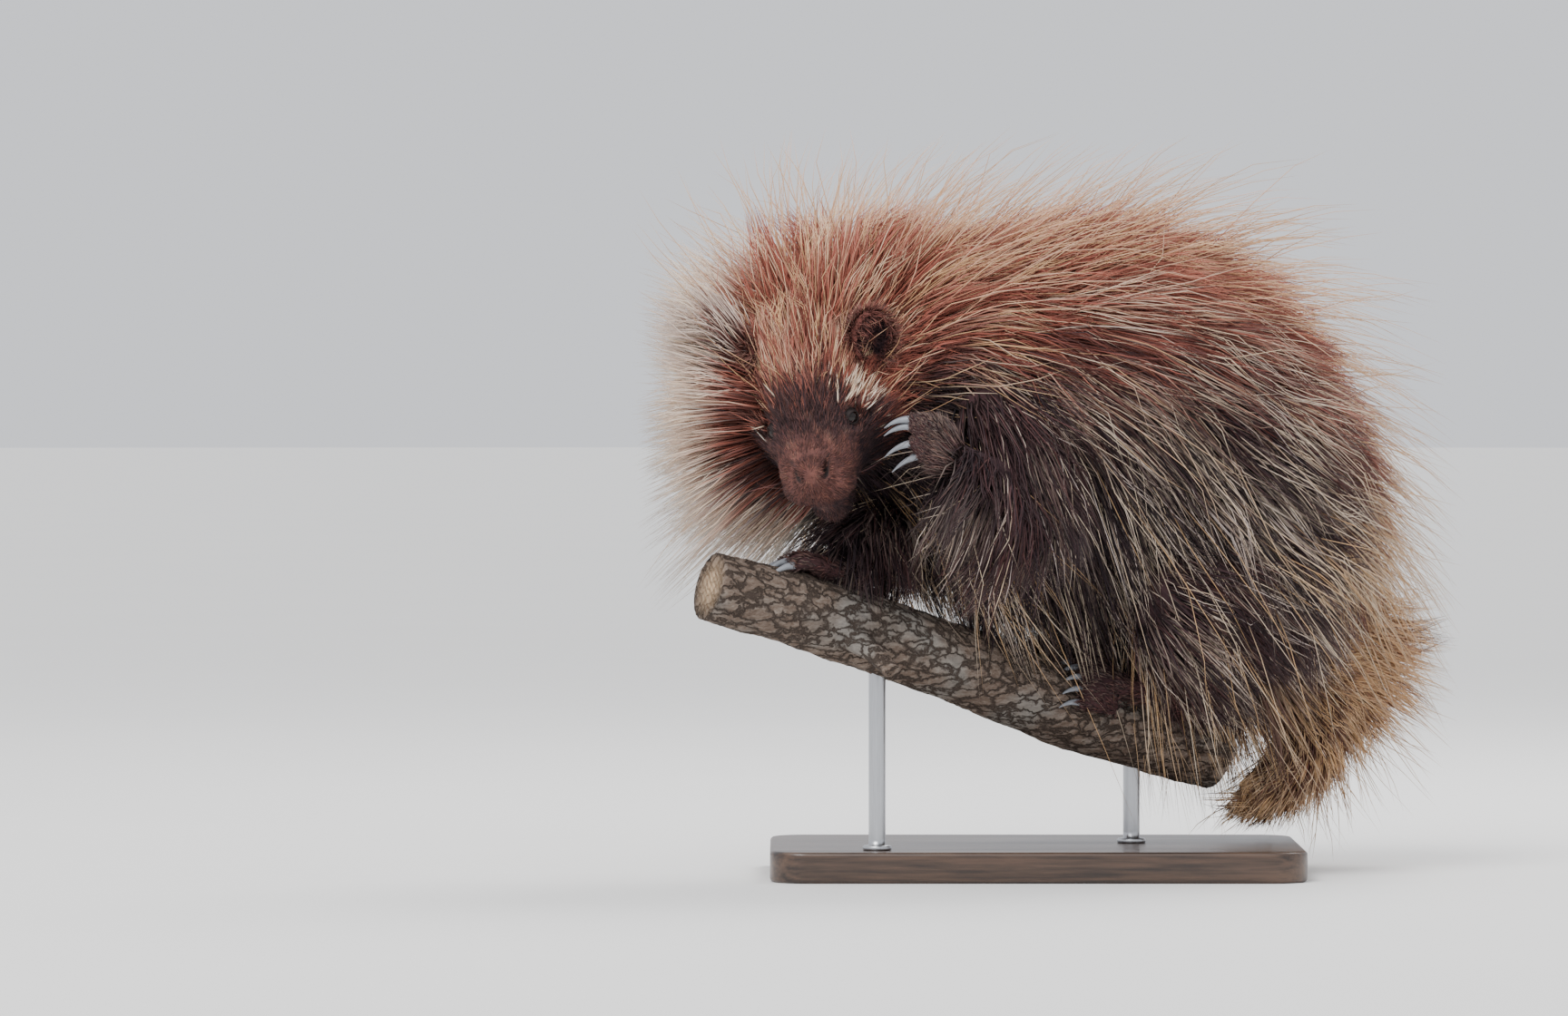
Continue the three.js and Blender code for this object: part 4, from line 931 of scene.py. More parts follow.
guardSizes = {  # length in millimetres and lift off the skin in degrees
    "flank": (94, 26), "back": (98, 46), "rump": (80, 31), "belly": (42, 24),  # the belly's are added
    "neckSide": (60, 34), "neckTop": (104, 64), "neckRight": (118, 72),
    "face": (11, 12), "brow": (30, 30), "cheek": (44, 50), "cheekRight": (84, 50), "crown": (62, 58),
    "tailSide": (50, 20), "tailTop": (122, 44), "tipSide": (30, 16), "tipTop": (44, 32),
}

# How guard hair grows by its place: length, width, lift off the skin, bend back to it, turn round its
# root and sag. High is 1 along the back, under 1 on the belly and right 1 on the right side. Each
# length and lift is mixed from those of the table by smooth steps along the part.
def guardStyle(kind, v, a):
    high, under, right = [np.clip(x, 0, 1) for x in (np.cos(a), -np.cos(a), -np.sin(a))]
    at = {place: np.array(pair, float)[:, None] for place, pair in guardSizes.items()}
    if kind == "trunk":
        rump, neck, front = ramp(v, 0.76, 0.95), 1 - ramp(v, 0.12, 0.26), 1 - ramp(v, 0.4, 0.55)
        length, lift = mixed(mixed(at["flank"], at["back"], high), at["rump"], rump)
        neckLength, neckLift = mixed(mixed(at["neckSide"], at["neckTop"], high), at["neckRight"], right)
        longer, higher = at["belly"] * under
        length = mixed(length + longer * front, neckLength, neck)
        lift = mixed(lift + higher, neckLift - 14 * ramp(v, 0.08, 0.2), neck)
        return length, 1.1, lift, mixed(26, 34, neck), 0, mixed(mixed(0.14, 0.04, rump), 0.4, under)
    if kind == "head":
        back = ramp(v, 0.54, 0.86)
        behind = mixed(mixed(at["cheek"], at["cheekRight"], right), at["crown"], high)
        length, lift = mixed(mixed(at["face"], at["brow"], ramp(v, 0.38, 0.56)), behind, back)
        return length, mixed(0.8, 1.05, back), lift, mixed(8, 24, back), 0, 0.08 * back
    if kind == "tail":
        far = ramp(v, 0.12, 0.5)
        tip = mixed(at["tipSide"], at["tipTop"], high)
        length, lift = mixed(mixed(at["tailSide"], at["tailTop"], high), tip, far)
        return length, 1.1, lift, 16, 0, mixed(-0.16, 0.06, far)
    if kind == "arm":
        return mixed(74, 56, v), 1.0, 24, 20, 0, 0.2
    if kind == "leg":
        return mixed(76, 44, v), 1.0, 26, 24, 0, 0.1
    if kind == "ear":
        return 12, 0.7, 40, 10, 0, 0.0
    return 12 - 5 * v, 0.75, 24, 16, 0, 0.0

# A style gives six numbers for a kind of part and a place on it; here they are gathered for each hair
def styleOf(chosen, style):
    n = len(chosen)
    fields = [np.zeros(n) for _ in range(6)]
    for kind in sorted(set(partKinds.values())):
        on = rootKind[chosen] == kind
        if on.any():
            values = style(kind, rootV[chosen][on], rootA[chosen][on])
            for field, value in zip(fields, values):
                field[on] = value
    return dict(zip(("length", "wide", "lift", "bend", "turn", "sag"), fields))

# The middle line of each hair: it leaves the skin at its lift, bends back by bend over its length,
# waves to the side and hangs by sag times the square of the share s of its length
def hairPath(hair, s):
    angle = np.radians(hair["lift"] - hair["bend"] * s / 2)[:, None]
    far = (hair["length"] * s)[:, None]
    wave = (hair["wave"] * hair["length"] * s * np.sin(hair["phase"] + 6.0 * s))[:, None]
    p = hair["at"] + hair["lie"] * np.cos(angle) * far + hair["out"] * np.sin(angle) * far
    p = p + hair["side"] * wave
    p[:, 2] -= hair["sag"] * hair["length"] * s * s
    return p

# Hair that would leave the model's box, or reach the floor, the base or below the branch, is shorter
def fitIn(hair, dice):
    proud = np.array(coatSizes["proud"])
    least = np.array(cadBox[0]) * 1000 - shift - proud
    most = np.array(cadBox[1]) * 1000 - shift + proud
    tip = hairPath(hair, 1.0)
    base = standBox - shift
    beside, clear = coatSizes["besideBase"], coatSizes["clear"]
    over = np.all((tip[:, :2] > base[0, :2] - beside) & (tip[:, :2] < base[1, :2] + beside), axis=1)
    ground = np.where(over, base[1, 2] + clear, clear)
    low = np.interp(tip[:, 0], branch.at[:, 0], branch.at[:, 2]) - coatSizes["underBranch"]
    above = (tip[:, 0] < coatSizes["branchUntil"]) & (hair["at"][:, 2] > low + coatSizes["rootOver"])
    ground = np.where(above, np.maximum(ground, low), ground)
    reach = tip - hair["at"]
    room = np.where(reach > 0, most - hair["at"], hair["at"] - least)
    room[:, 2] = np.where(reach[:, 2] > 0, room[:, 2], hair["at"][:, 2] - ground)
    share = (room / np.maximum(np.abs(reach), 1e-6)).min(1)
    cut = share < 1
    hair["length"] *= np.where(cut, np.clip(share, 0.1, 1) * dice.uniform(0.6, 1.0, len(cut)), 1)

# Hairs from their style: shorter near ears, eyes and temple, then varied by the normal spread of each
# number. A hair lies along its turned direction, leaves along out and waves across both.
def prepare(chosen, style, spread, dice, sunk=1.2):
    n = len(chosen)
    hair = styleOf(chosen, style)
    nearest = coatSizes["nearest"]
    byEar = mixed(nearest, 1, ramp(earGap[chosen], *coatSizes["nearEar"]))
    byEye = mixed(nearest, 1, ramp(eyeGap[chosen], *coatSizes["nearEye"]))
    shy = np.where(np.isin(rootKind[chosen], ("head", "trunk")), byEar, 1) * byEye
    shy = shy * (1 - coatSizes["atTemple"] * temple[chosen])
    hair["length"] = hair["length"] * shy * (1 + spread["length"] * dice.normal(size=n).clip(-2, 2))
    hair["length"] *= spread.get("longer", 1.0)
    hair["wide"] = hair["wide"] * spread.get("wider", 1.0)
    hair["lift"] = np.clip(hair["lift"] + spread["lift"] * dice.normal(size=n), 4, 88)
    turn = np.radians(hair["turn"] + spread["turn"] * dice.normal(size=n))[:, None]
    out, along = growOut[chosen], rootAlong[chosen]
    around = np.cross(along, out)
    hair["out"], hair["at"] = out, rootAt[chosen] - out * sunk
    hair["lie"] = along * np.cos(turn) + around * np.sin(turn)
    hair["side"] = np.cross(out, hair["lie"])
    hair["wave"] = spread["wave"] * dice.normal(size=n)
    hair["phase"] = dice.uniform(0, 6.28, n)
    fitIn(hair, dice)
    return hair

# Each hair joins the nearest lock
def nearestOf(points, centres):
    near = np.empty(len(points), int)
    for chunk in np.array_split(np.arange(len(points)), max(1, len(points) // 4000)):
        away = (centres ** 2).sum(1) - 2 * points[chunk] @ centres.T
        near[chunk] = away.argmin(1)
    return near

# The unwrap of the body: each part is opened along its belly into a rectangle of its own
def unwrap(part, v, a, parts):
    order = {p: i for i, p in enumerate(sorted(parts))}
    across = math.ceil(math.sqrt(len(order)))
    cell = np.array([order[p] for p in part])
    size = 1 / across
    u = (cell % across + 0.02 + 0.94 * v) * size
    w = (cell // across + 0.02 + 0.94 * (a / (2 * math.pi) + 0.5)) * size
    return np.stack([u, w], -1)

# Three-sided blades: a ring of three points at each share of the hair's length, and a tip. A lock
# draws its hairs' outer ends together.
def bladeMesh(name, chosen, hair, shape, pale, material, dice, lock=None):
    shares, widths, flat = shape
    n, rings = len(chosen), len(shares)
    steps = np.append(shares, 1.0)
    middle = np.stack([hairPath(hair, s) for s in steps], 1)
    tint, streak = dice.random(n), np.ones(n)
    if lock is not None:
        centres, lockOf, pull = lock
        ofLock = dice.random(len(centres["length"]))[lockOf]
        tint = mixed(tint, ofLock, coatSizes["lockTint"])
        streak = coatSizes["streaked"] * ramp(ofLock, *coatSizes["streaks"])
        heart = np.stack([hairPath(centres, s) for s in steps], 1)[lockOf]
        middle += (heart - middle) * (pull[:, None] * steps[None] ** coatSizes["lockPower"])[..., None]
    along = unit(np.gradient(middle, axis=1))
    side = unit(np.cross(hair["out"][:, None], along) + 1e-6)
    normal = np.cross(along, side)
    half = (hair["wide"][:, None] * np.asarray(widths) / 2)[..., None]
    a, c, b = side[:, :rings] * half, -side[:, :rings] * half, normal[:, :rings] * half * flat * 2
    ring = middle[:, :rings, None] + np.stack([a - b * 0.4, b * 0.6, c - b * 0.4], 2)
    each = rings * 3 + 1
    points = np.concatenate([ring.reshape(n, -1, 3), middle[:, -1:]], 1).reshape(-1, 3)
    base = (np.arange(n) * each)[:, None, None]
    k = np.arange(3)
    i, j = np.meshgrid(np.arange(rings - 1), k, indexing="ij")
    low, high = i * 3 + j, i * 3 + (j + 1) % 3
    pattern = np.stack([low, high, high + 3, low + 3], -1).reshape(-1, 4)
    quads = (base + pattern).reshape(-1, 4)
    last = (rings - 1) * 3
    caps = np.array([[2, 1, 0]] + [[last + m, last + (m + 1) % 3, each - 1] for m in k])
    tris = (base + caps).reshape(-1, 3)
    made = makeObject(name, points, quads, tris, material)
    mesh = made.data
    share = np.append(np.repeat(shares, 3), 1.0)
    setFloat(mesh, "along", np.tile(share, n))
    setFloat(mesh, "tint", np.repeat(tint, each))
    for key in ("rust", "dark", "warm"):
        values = np.clip(rootMarks[key][chosen] + coatSizes["uneven"] * dice.normal(size=n), 0, 1)
        setFloat(mesh, key, np.repeat(values, each))
    own = np.clip(rootMarks["pale"][chosen] * dice.random(n) * streak, 0, 1)
    setFloat(mesh, "pale", np.repeat(own if pale is None else pale * dice.uniform(0.75, 1.0, n), each))
    place = unwrap(rootPart[chosen], rootV[chosen], rootA[chosen], set(rootPart[chosen].tolist()))
    patch = np.stack([np.append(np.tile([0.0, 0.5, 1.0], rings), 0.5), share], -1) * coatSizes["patch"]
    spot = (place[:, None] + patch[None]).reshape(-1, 2)
    corners = np.empty(len(mesh.loops), np.int32)
    mesh.loops.foreach_get("vertex_index", corners)
    mesh.uv_layers.new(name="OFBake").data.foreach_set("uv", spot[corners].astype(np.float32).ravel())
    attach(made, "root")
    count = len(quads) * 2 + len(tris)
    print(name, n, "hairs,", count, "triangles")
    return count

beyond = np.abs(rootA)
barrel = onTrunk & (rootV >= 0.22) & (rootV < 0.74)
onCrown = rootV >= mixed(0.52, 0.58, ramp(beyond, 0.7, 1.1))
regions = {  # which roots belong to each region of the coat
    "neck": onTrunk & (rootV < 0.22),
    "back": barrel & (beyond < 0.85),
    "flank_left": barrel & (rootA >= 0.85),
    "flank_right": barrel & (rootA <= -0.85),
    "rump": onTrunk & (rootV >= 0.74),
    "crown": onHead & onCrown,
    "face_left": onHead & ~onCrown & (rootA >= 0),
    "face_right": onHead & ~onCrown & (rootA < 0),
    "ears": rootKind == "ear",
    "arms": rootKind == "arm",
    "legs": rootKind == "leg",
    "paws": rootKind == "paw",
    "tail": rootKind == "tail",
}

def pick(region, density, dice, thin=1.0):  # roots of a region at so many per square millimetre
    on = np.flatnonzero(regions[region] & haired)
    thin = np.broadcast_to(thin, len(rootAt))[on]
    return on[dice.random(len(on)) < density * thin / rootDensity[on]]

wool = ([0.0, 0.5], [0.9, 1.0], 0.45)  # shares of the length with a ring, widths there, thickness
guard = ([0.0, 0.38, 0.74], [0.7, 1.0, 0.7], 0.5)
strand = ([0.0, 0.35, 0.7], [0.75, 1.0, 0.75], 0.6)
longest = ([0.0, 0.3, 0.55, 0.8], [0.7, 1.0, 0.9, 0.6], 0.6)
coatLayers = {  # hairs per square millimetre: wool, guard hair and straw strands, and locks of each
    "neck": (0.20, 0.22, 0.090, 0.010, 0.0100), "back": (0.15, 0.07, 0.024, 0.006, 0.0040),
    "flank_left": (0.16, 0.08, 0.022, 0.006, 0.0030), "flank_right": (0.11, 0.04, 0.016, 0.005, 0.0025),
    "rump": (0.14, 0.07, 0.026, 0.006, 0.0040), "crown": (0.34, 0.26, 0.075, 0.014, 0.0120),
    "arms": (0.12, 0.06, 0.005, 0.010, 0.0030), "legs": (0.13, 0.05, 0.010, 0.008, 0.0030),
    "tail": (0.14, 0.08, 0.080, 0.008, 0.0080),
}
woolSpread = {"length": 0.16, "lift": 8.0, "turn": 16.0, "wave": 0.05, "longer": 0.72, "wider": 1.3}
guardSpread = {"length": 0.13, "lift": 7.0, "turn": 10.0, "wave": 0.04}
strandSpread = {"length": 0.10, "lift": 7.0, "turn": 9.0, "wave": 0.05, "longer": 1.08, "wider": 0.75}
lockSpread = {"length": 0.08, "lift": 5.0, "turn": 14.0, "wave": 0.09}
# Pale hair and pale tips are taken out on the left of the throat and cheek, as painted shade beside the
# face and the raised hand, and thinned on the forehead
shaded = np.where(onTrunk, 1 - ramp(rootV, 0.10, 0.22), onHead)
shaded = 1 - 0.9 * ramp(rootA, 0.7, 1.3) * shaded
shaded = shaded * np.where(onHead, mixed(0.2, 1, ramp(rootV, 0.56, 0.74)), 1)
rootMarks["pale"] = rootMarks["pale"] * shaded
total = 0
for index, (region, densities) in enumerate(coatLayers.items()):
    dice = np.random.default_rng(100 + index)
    golden = goldMaterial if region in ("crown", "neck", "back", "rump", "tail") else hairMaterial
    layers = (("wool_", densities[0], densities[3], woolSpread, wool, None, (0.2, 0.6), furMaterial),
              ("hair_", densities[1], densities[3], guardSpread, guard, None, (0.4, 0.9), hairMaterial),
              ("strands_", densities[2], densities[4], strandSpread, strand, 1.0, (0.5, 1.0), golden))
    for prefix, density, lockDensity, spread, shape, pale, pulls, material in layers:
        chosen = pick(region, density, dice, shaded if pale else 1.0)
        heart = pick(region, lockDensity, dice)
        hair = prepare(chosen, guardStyle, spread, dice)
        locks = prepare(heart, guardStyle, {**lockSpread, "longer": spread.get("longer", 1.0)}, dice)
        lockOf = nearestOf(rootAt[chosen], rootAt[heart])
        pull = dice.uniform(*pulls, len(chosen))
        total += bladeMesh(prefix + region, chosen, hair, shape, pale, material, dice,
                           (locks, lockOf, pull))

# Short fur of the face, ears and paws: fine tufts that start at the skin
shortLayers = {  # tufts per square millimetre, and their width as a share of the style's
    "face_left": (1.75, 0.54), "face_right": (1.35, 0.6), "ears": (0.6, 0.8), "paws": (0.25, 1.0),
}
onHand = rootPart == partNames.index("hand_left")
for index, (region, (density, wider)) in enumerate(shortLayers.items()):
    dice = np.random.default_rng(200 + index)
    chosen = pick(region, density, dice, np.where(onHand, 2.4, 1.0))
    spread = {"length": 0.2, "lift": 5.0, "turn": 14.0, "wave": 0.0, "wider": wider}
    hair = prepare(chosen, guardStyle, spread, dice, 0.3)
    muzzle = ramp(rootPlace[chosen, 0], 15, 50) * onHead[chosen]
    chin = ramp(-rootPlace[chosen, 2], 38, 52) * onHead[chosen]
    hair["length"] *= mixed(mixed(1, 0.45, muzzle), 1.2, chin) * (1 - 0.6 * insideEar(rootAt[chosen]))
    toward = np.linalg.norm(rootAt[chosen][:, None] - np.array(toeTips)[None], axis=-1).min(1)
    hair["length"] *= np.where(onHand[chosen], mixed(0.5, 1.6, ramp(toward, 8, 26)), 1)
    total += bladeMesh("fur_" + region, chosen, hair, wool, None, furMaterial, dice)

# Bristles of their own length, lift and width: cream quills on the temples, and a few dark whiskers on
# each side of the muzzle
quillSizes = {"seed": 260, "density": 0.30, "long": 21, "lift": 40, "wide": 1.45,
              "spread": {"length": 0.1, "lift": 5.0, "turn": 16.0, "wave": 0.0}}
whiskerSizes = {"seed": 265, "density": 0.026, "long": 44, "lift": 44, "wide": 0.55, "bend": 34.0,
                "spread": {"length": 0.1, "lift": 8.0, "turn": 14.0, "wave": 0.04}}

# They grow where a share of the density allows; their length varies evenly and their lift normally
def growBristles(size, where, allowed):
    dice = np.random.default_rng(size["seed"])
    chosen = np.flatnonzero((dice.random(len(rootAt)) < size["density"] * where / rootDensity) & allowed)
    hair = prepare(chosen, guardStyle, size["spread"], dice)
    hair["length"] = size["long"] * dice.uniform(0.6, 1.15, len(chosen))
    hair["lift"] = dice.normal(size["lift"], 9, len(chosen))
    hair["wide"] = np.full(len(chosen), size["wide"])
    if "bend" in size:
        hair["bend"] = np.full(len(chosen), size["bend"])
    return chosen, hair, dice

chosen, hair, dice = growBristles(quillSizes, temple, eyeGap > 8)
total += bladeMesh("temple_quills", chosen, hair, strand, 1.0, quillMaterial, dice)
pad = onHead * bell(rootV - 0.2, 0.07) * bell(beyond - 1.75, 0.32)
chosen, hair, dice = growBristles(whiskerSizes, pad, haired)
total += bladeMesh("whiskers", chosen, hair, longest, 0.0, furMaterial, dice)

# The ruff: dense cream hair that streams away from the face over the right cheek and neck, up at the
# crown and down at the throat
ruffStyle = {  # length, width, lift, bend, turn and sag
    "head": (80, 1.0, 22, 20, 0, 0.18), "trunk": (94, 1.0, 30, 20, 0, 0.2),
    "ear": (58, 0.9, 20, 10, 0, 0.1),
}
ruffSizes = {"density": 0.34, "locks": 0.012, "away": (-58, 12, 0), "stray": 9,
             "spread": {"length": 0.24, "lift": 7.0, "turn": 0.0, "wave": 0.06}}
dice = np.random.default_rng(270)
cheek = onHead * ramp(rootV, 0.54, 0.66) * ramp(-rootA, 0.3, 1.1)
nape = onTrunk * (1 - ramp(rootV, 0.08, 0.2)) * ramp(-rootA, 0.4, 1.2)
ruff = cheek + nape + (rootPart == partNames.index("ear_right"))
chosen = np.flatnonzero(dice.random(len(rootAt)) < ruffSizes["density"] * ruff / rootDensity)
heart = np.flatnonzero(dice.random(len(rootAt)) < ruffSizes["locks"] * ruff / rootDensity)

# The ruff's hairs point away from the face instead of along the body
def makeRuff(chosen):
    hair = prepare(chosen, lambda kind, v, a: ruffStyle[kind], ruffSizes["spread"], dice)
    away = rootAt[chosen] - inHead((10, 0, 0))
    stray = ruffSizes["stray"] * dice.normal(size=away.shape)
    away = unit(away * [0.25, 0, 1.1] + ruffSizes["away"] + stray)
    hair["lie"] = away
    hair["side"] = unit(np.cross(hair["out"], away) + 1e-6)
    fitIn(hair, dice)
    return hair

lock = (makeRuff(heart), nearestOf(rootAt[chosen], rootAt[heart]), dice.uniform(0.2, 0.7, len(chosen)))
total += bladeMesh("ruff", chosen, makeRuff(chosen), strand, 1.0, ruffMaterial, dice, lock)

# Long single hairs stand out of the coat and blur its outline
longLayers = {  # such hairs per square millimetre
    "neck": 0.050, "back": 0.022, "rump": 0.026, "crown": 0.032, "flank_left": 0.003, "tail": 0.03,
}
dice = np.random.default_rng(300)
chosen = np.concatenate([pick(region, density, dice) for region, density in longLayers.items()])
spread = {"length": 0.14, "lift": 11.0, "turn": 16.0, "wave": 0.05, "longer": 1.55, "wider": 0.75}
hair = prepare(chosen, guardStyle, spread, dice)
total += bladeMesh("long_hair", chosen, hair, longest, 0.7, goldMaterial, dice)
print("coat", total, "triangles")


# Perch: a cut length of branch with scaly bark, knots and pale sawn ends

barkSizes = {
    "rings": 260, "sides": 130,
    "furrow": 1.5, "furrows": (9, 4.5), "drawnOut": 0.22,  # depth, widths and scale along the branch
    "cracks": 13, "knob": 2.2, "knobs": 60,  # width of the cracks, height and width of the knobs
    "sawnEnd": 0.004,  # the last share of the branch, where the bark thins out
    "turn": (0, -17, 27),  # lays the grain along the branch
    "plates": 125.0, "crack": 0.16,  # plates to the metre, and the cracks' share of them
    "tones": [(0.30, (0.060, 0.043, 0.034)), (0.44, (0.150, 0.105, 0.080)),
              (0.56, (0.230, 0.180, 0.145)), (0.70, (0.330, 0.280, 0.240))],
    "crackTone": (0.055, 0.040, 0.032), "dust": (0.33, 0.34, 0.32),
    "sawn": ((0.42, 0.27, 0.15), (0.60, 0.43, 0.27)),
}

# The branch's ellipse, pushed out and in by long furrows and broad knobs, with flat sawn ends
def makeBranch():
    v = np.linspace(0, 1, barkSizes["rings"])[:, None]
    a = circle(barkSizes["sides"])[None]
    v, a = v + 0 * a, a + 0 * v
    around = np.stack([np.cos(a) * 30, np.sin(a) * 30, v * 400], -1).reshape(-1, 3)  # about its real size
    drawn = around * [1, 1, barkSizes["drawnOut"]]
    broad, fine = [softNoise(drawn, size, seed) for seed, size in enumerate(barkSizes["furrows"], 1)]
    ridges = broad + 0.6 * fine
    knobs = softNoise(around, barkSizes["knobs"], 3)
    cracks = -np.abs(softNoise(drawn, barkSizes["cracks"], 4)) ** 0.5
    height = barkSizes["furrow"] * (0.55 * ridges + 0.9 * cracks + 0.5) + barkSizes["knob"] * 0.5 * knobs
    fade = ramp(np.minimum(v, 1 - v), 0.0, barkSizes["sawnEnd"])
    height = height.reshape(v.shape) * (0.35 + 0.65 * fade) - 0.6
    rings = branch.point(v, a, height[..., None])
    pieces = [closeRings(rings)]
    for place, angle, length, radius in branchRows["twigs"]:
        foot, tip = onBranch(place, angle, -8), onBranch(place + 0.05, angle, length)
        radii = [radius * 1.7, radius * 1.15, radius]
        pieces.append(tube([foot, (foot + tip) / 2 + [1.5, 0, 1], tip], radii, 24, 20))
    return joined(pieces)

# Bark: grain along the branch coloured by stops, dusted in patches, cracked between the plates of a
# Voronoi pattern that noise has bent; the sawn ends show year rings
def makeBarkMaterial():
    material, here, feed = startMaterial("bark", {"Specular IOR Level": 0.2})
    turn = barkSizes["turn"]
    grain = noise(stretched(here, (1.0, 4.0, 4.0), turn), 60.0, 6.0, 0.65)
    wander = here.node("ShaderNodeVectorMath", {"operation": "ADD"},
                       {0: here, 1: noise(here, 110.0, 3.0, 0.6, "Color").shade(0.014)})
    plates = here.node("ShaderNodeTexVoronoi", {"feature": "DISTANCE_TO_EDGE"},
                       {"Vector": stretched(wander, (0.34, 1.0, 1.0), turn), "Scale": barkSizes["plates"]},
                       "Distance")
    dusty = noise(here, 18.0, 3.0).smooth(0.46, 0.66)
    fine = noise(stretched(here, (1.0, 3.0, 3.0), turn), 240.0, 5.0, 0.7)
    base = grain.node("ShaderNodeValToRGB", {"stops": barkSizes["tones"]},
                      {"Fac": 0.45 * grain + 0.55 * fine}, "Color")
    base = (dusty * 0.45).blend(base, barkSizes["dust"])
    crack = plates.smooth(0.0, barkSizes["crack"])
    base = (crack * (0.5 + 0.7 * grain)).blend(barkSizes["crackTone"], base)
    end = attribute(here, "sawn")
    years = here.node("ShaderNodeTexWave", {"wave_type": "RINGS", "rings_direction": "X"},
                      {"Vector": here, "Scale": 90.0, "Distortion": 3.0, "Detail": 2.0}, "Fac")
    feed("Base Color", end.blend(base, years.blend(*barkSizes["sawn"])))
    feed("Roughness", 0.85 - 0.2 * end + 0.1 * grain)
    feed("Normal", bump(0.5 * grain + 0.5 * fine + crack, 0.9, 0.0022))
    return material

perch = makeObject("perch", *makeBranch(), makeBarkMaterial())
sawn = np.zeros(len(perch.data.vertices))
count = barkSizes["rings"] * barkSizes["sides"]
sawn[count:count + 2] = 1  # the poles in the middle of the branch's two ends
setFloat(perch.data, "sawn", sawn)
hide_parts("perch_branch")
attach(perch, "root")
print("perch")


# Stand: a dark wooden slab with an eased edge, and two steel rods

standSizes = {
    "length": 380, "width": 230, "thick": 22, "corner": 26, "edge": 3.0,
    "rod": 6.0, "rods": (0.36, 0.84),  # the rods' radius, and their places along the branch
    # height over the slab, and how much wider than the rod it is there
    "flange": [(0, 3.6), (0.6, 4.2), (2.6, 4.2), (3.4, 3.4), (3.6, 0), (8, 0)],
}

# A rounded rectangle carried up an eased profile: in at the foot, straight, and rounded over the top
def makeSlab():
    size = standSizes
    edge, thick = size["edge"], size["thick"]
    t = np.radians(np.linspace(0, 90, 7))
    flat = edge + np.array([6.0, 20.0, 60.0])
    inset = np.concatenate([edge * (1 - np.sin(t)), edge * (1 - np.cos(t)), flat])
    high = np.concatenate([edge * (1 - np.cos(t)), thick - edge * (1 - np.sin(t)), np.full(3, thick)])
    corner = np.radians(np.linspace(0, 90, 13))
    quarter = np.concatenate([corner + k * math.pi / 2 for k in range(4)])
    sx = np.repeat([1, -1, -1, 1], 13)
    sy = np.repeat([1, 1, -1, -1], 13)
    r = np.maximum(size["corner"] - inset, 2.0)[:, None]
    hx, hy = size["length"] / 2 - inset[:, None] - r, size["width"] / 2 - inset[:, None] - r
    x = baseMiddle[0] + sx * hx + r * np.cos(quarter)
    y = baseMiddle[1] + sy * hy + r * np.sin(quarter)
    return closeRings(np.stack([x, y, high[:, None] + 0 * x], -1)[:, ::-1])

# Dark stained wood under varnish: fibres and year lines, both stretched along the slab
def makeWoodMaterial():
    material, here, feed = startMaterial("stained_wood", {"Coat Roughness": 0.18})
    fibre = noise(stretched(here, (1.2, 22.0, 22.0)), 14.0, 5.0, 0.6)
    years = noise(stretched(here, (0.5, 7.0, 7.0)), 9.0, 2.0)
    tone = (0.55 * fibre + 0.45 * years).smooth(0.32, 0.66)
    feed("Base Color", tone.blend((0.018, 0.010, 0.007), (0.095, 0.050, 0.028)))
    feed("Roughness", 0.34 + 0.2 * fibre)
    feed("Coat Weight", 0.25 + 0.2 * tone)
    feed("Normal", bump(fibre, 0.25, 0.0005))
    return material

# Brushed steel: fine streaks that run up the rods
def makeSteelMaterial():
    material, here, feed = startMaterial("brushed_steel", {"Metallic": 1.0})
    brush = noise(stretched(here, (30.0, 30.0, 1.0)), 60.0, 3.0)
    feed("Base Color", brush.blend((0.42, 0.43, 0.45), (0.62, 0.63, 0.65)))
    feed("Roughness", 0.24 + 0.22 * brush)
    feed("Normal", bump(brush, 0.12, 0.0003))
    return material

slab = makeObject("display_base", *makeSlab(), makeWoodMaterial())
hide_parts("stand_base")
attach(slab, "root")
steel = makeSteelMaterial()
for place, name in zip(standSizes["rods"], ("stand_rod_front", "stand_rod_rear")):
    x, y, _ = branch.frame(np.array(place))[0]
    top = onBranch(place, 180, 0)[2] + 4
    r, foot = standSizes["rod"], standSizes["thick"]
    up, wider = np.array(standSizes["flange"]).T
    high = np.concatenate([foot + up, [top - 2, top]])
    wide = np.concatenate([r + wider, [r, r - 0.2]])[:, None]
    a = -circle(40)[None]
    ring = np.stack([x + wide * np.cos(a), y + wide * np.sin(a), high[:, None] + 0 * a], -1)
    rod = makeObject(name.replace("stand_", ""), *closeRings(ring), steel)
    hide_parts(name)
    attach(rod, "root")
print("stand")


# Floor, light and camera

studio = {
    "floor": (0.84, 0.83, 0.81), "floorRadius": 30000, "floorSides": 64,
    "sky": (0.93, 0.95, 1.0, 1.0),
    "skyStrength": 1.0,
    "sun": (1.7, 25, (26, -22, 0)),  # strength, softness and turn in degrees
    "lights": [  # place, aimed at, size and watts
        ((-0.9, -1.9, 2.2), (0.0, 0.0, 0.3), 1.4, 30.0),
        ((0.8, 1.2, 2.1), (0.0, 0.0, 0.4), 1.2, 45.0),
    ],
    # where it looks in the source's frame; metres away; degrees up; metres across at what it looks at
    "camera": {"look": (-160.0, 0.0, 262.6), "away": 6.0, "elevation": 1.0, "frame": 1.1232},
}

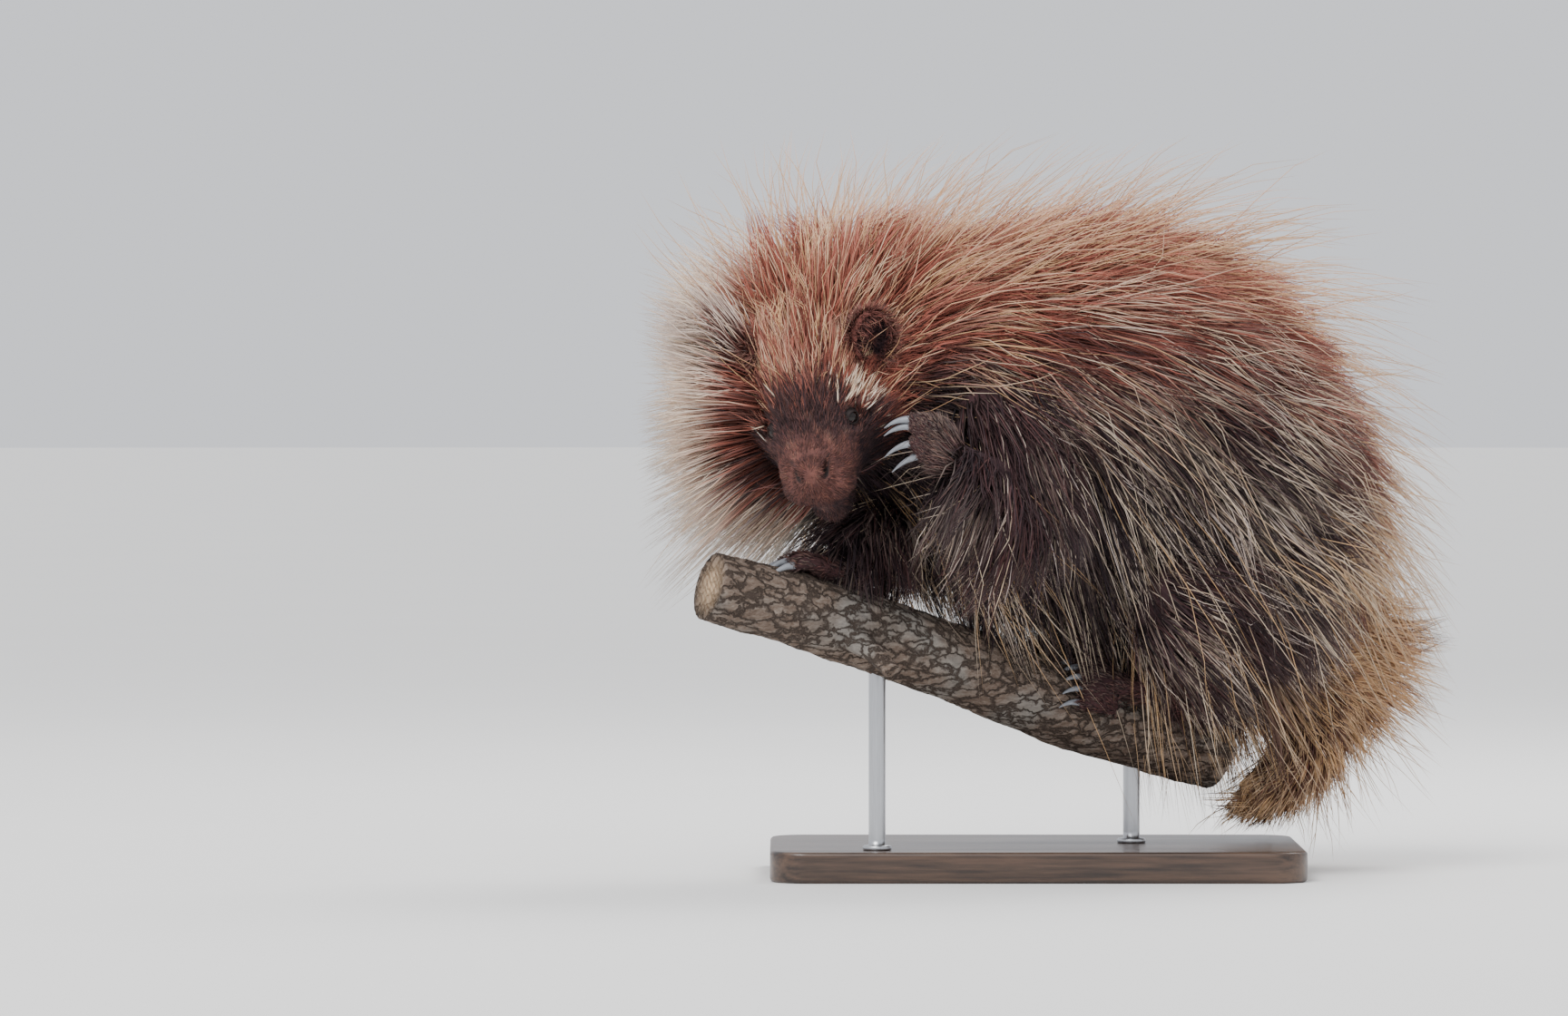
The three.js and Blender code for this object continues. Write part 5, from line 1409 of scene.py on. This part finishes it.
# The floor's one colour, very faintly clouded
def makeFloorMaterial():
    material, here, feed = startMaterial("studio_floor", {"Specular IOR Level": 0.2})
    cloud = noise(here, 3.0)
    r, g, b = studio["floor"]
    feed("Base Color", cloud.blend((r * 0.97, g * 0.97, b * 0.97), (r, g, b)))
    feed("Roughness", 0.8 + 0.1 * cloud)
    return material

# A flat disc of rings; only its first pole is closed, so that it has a single sheet
shares, sides = (0.02, 0.2, 1.0), studio["floorSides"]
t = circle(sides)
disc = np.stack([np.outer(shares, np.cos(t)), np.outer(shares, np.sin(t)), np.zeros((3, sides))], -1)
discPoints, discQuads, discTris = closeRings(disc * studio["floorRadius"] - shift)
floor = makeObject("floor", discPoints, discQuads[:, ::-1], discTris[:sides], makeFloorMaterial(), False)

world = bpy.data.worlds.new("studio") if bpy.context.scene.world is None else bpy.context.scene.world
bpy.context.scene.world = world
world.use_nodes = True
sky = world.node_tree.nodes["Background"]
sky.inputs["Color"].default_value = studio["sky"]
sky.inputs["Strength"].default_value = studio["skyStrength"]

def aimed(place, target):  # the turn that points an object's -Z axis from its place to the target
    return (Vector(target) - Vector(place)).to_track_quat("-Z", "Y").to_euler()

for index, (place, target, size, watts) in enumerate(studio["lights"]):
    lamp = bpy.data.lights.new("softbox_%d" % index, "AREA")
    lamp.size, lamp.energy = size, watts
    light = bpy.data.objects.new("softbox_%d" % index, lamp)
    light.location, light.rotation_euler = place, aimed(place, target)
    bpy.context.collection.objects.link(light)

strength, softness, turn = studio["sun"]
lamp = bpy.data.lights.new("skylight", "SUN")
lamp.energy, lamp.angle = strength, math.radians(softness)
light = bpy.data.objects.new("skylight", lamp)
light.rotation_euler = [math.radians(t) for t in turn]
bpy.context.collection.objects.link(light)

view = studio["camera"]
look = toScene(view["look"])
tilt = math.radians(view["elevation"])
eyeAt = look + np.array([0, -math.cos(tilt), math.sin(tilt)]) * view["away"]
lens = bpy.data.cameras.new("camera")
lens.lens = lens.sensor_width * view["away"] / view["frame"]
lens.clip_end = 100
camera = bpy.data.objects.new("camera", lens)
camera.location, camera.rotation_euler = eyeAt, aimed(eyeAt, look)
bpy.context.collection.objects.link(camera)
bpy.context.scene.camera = camera
print("floor, light and camera")
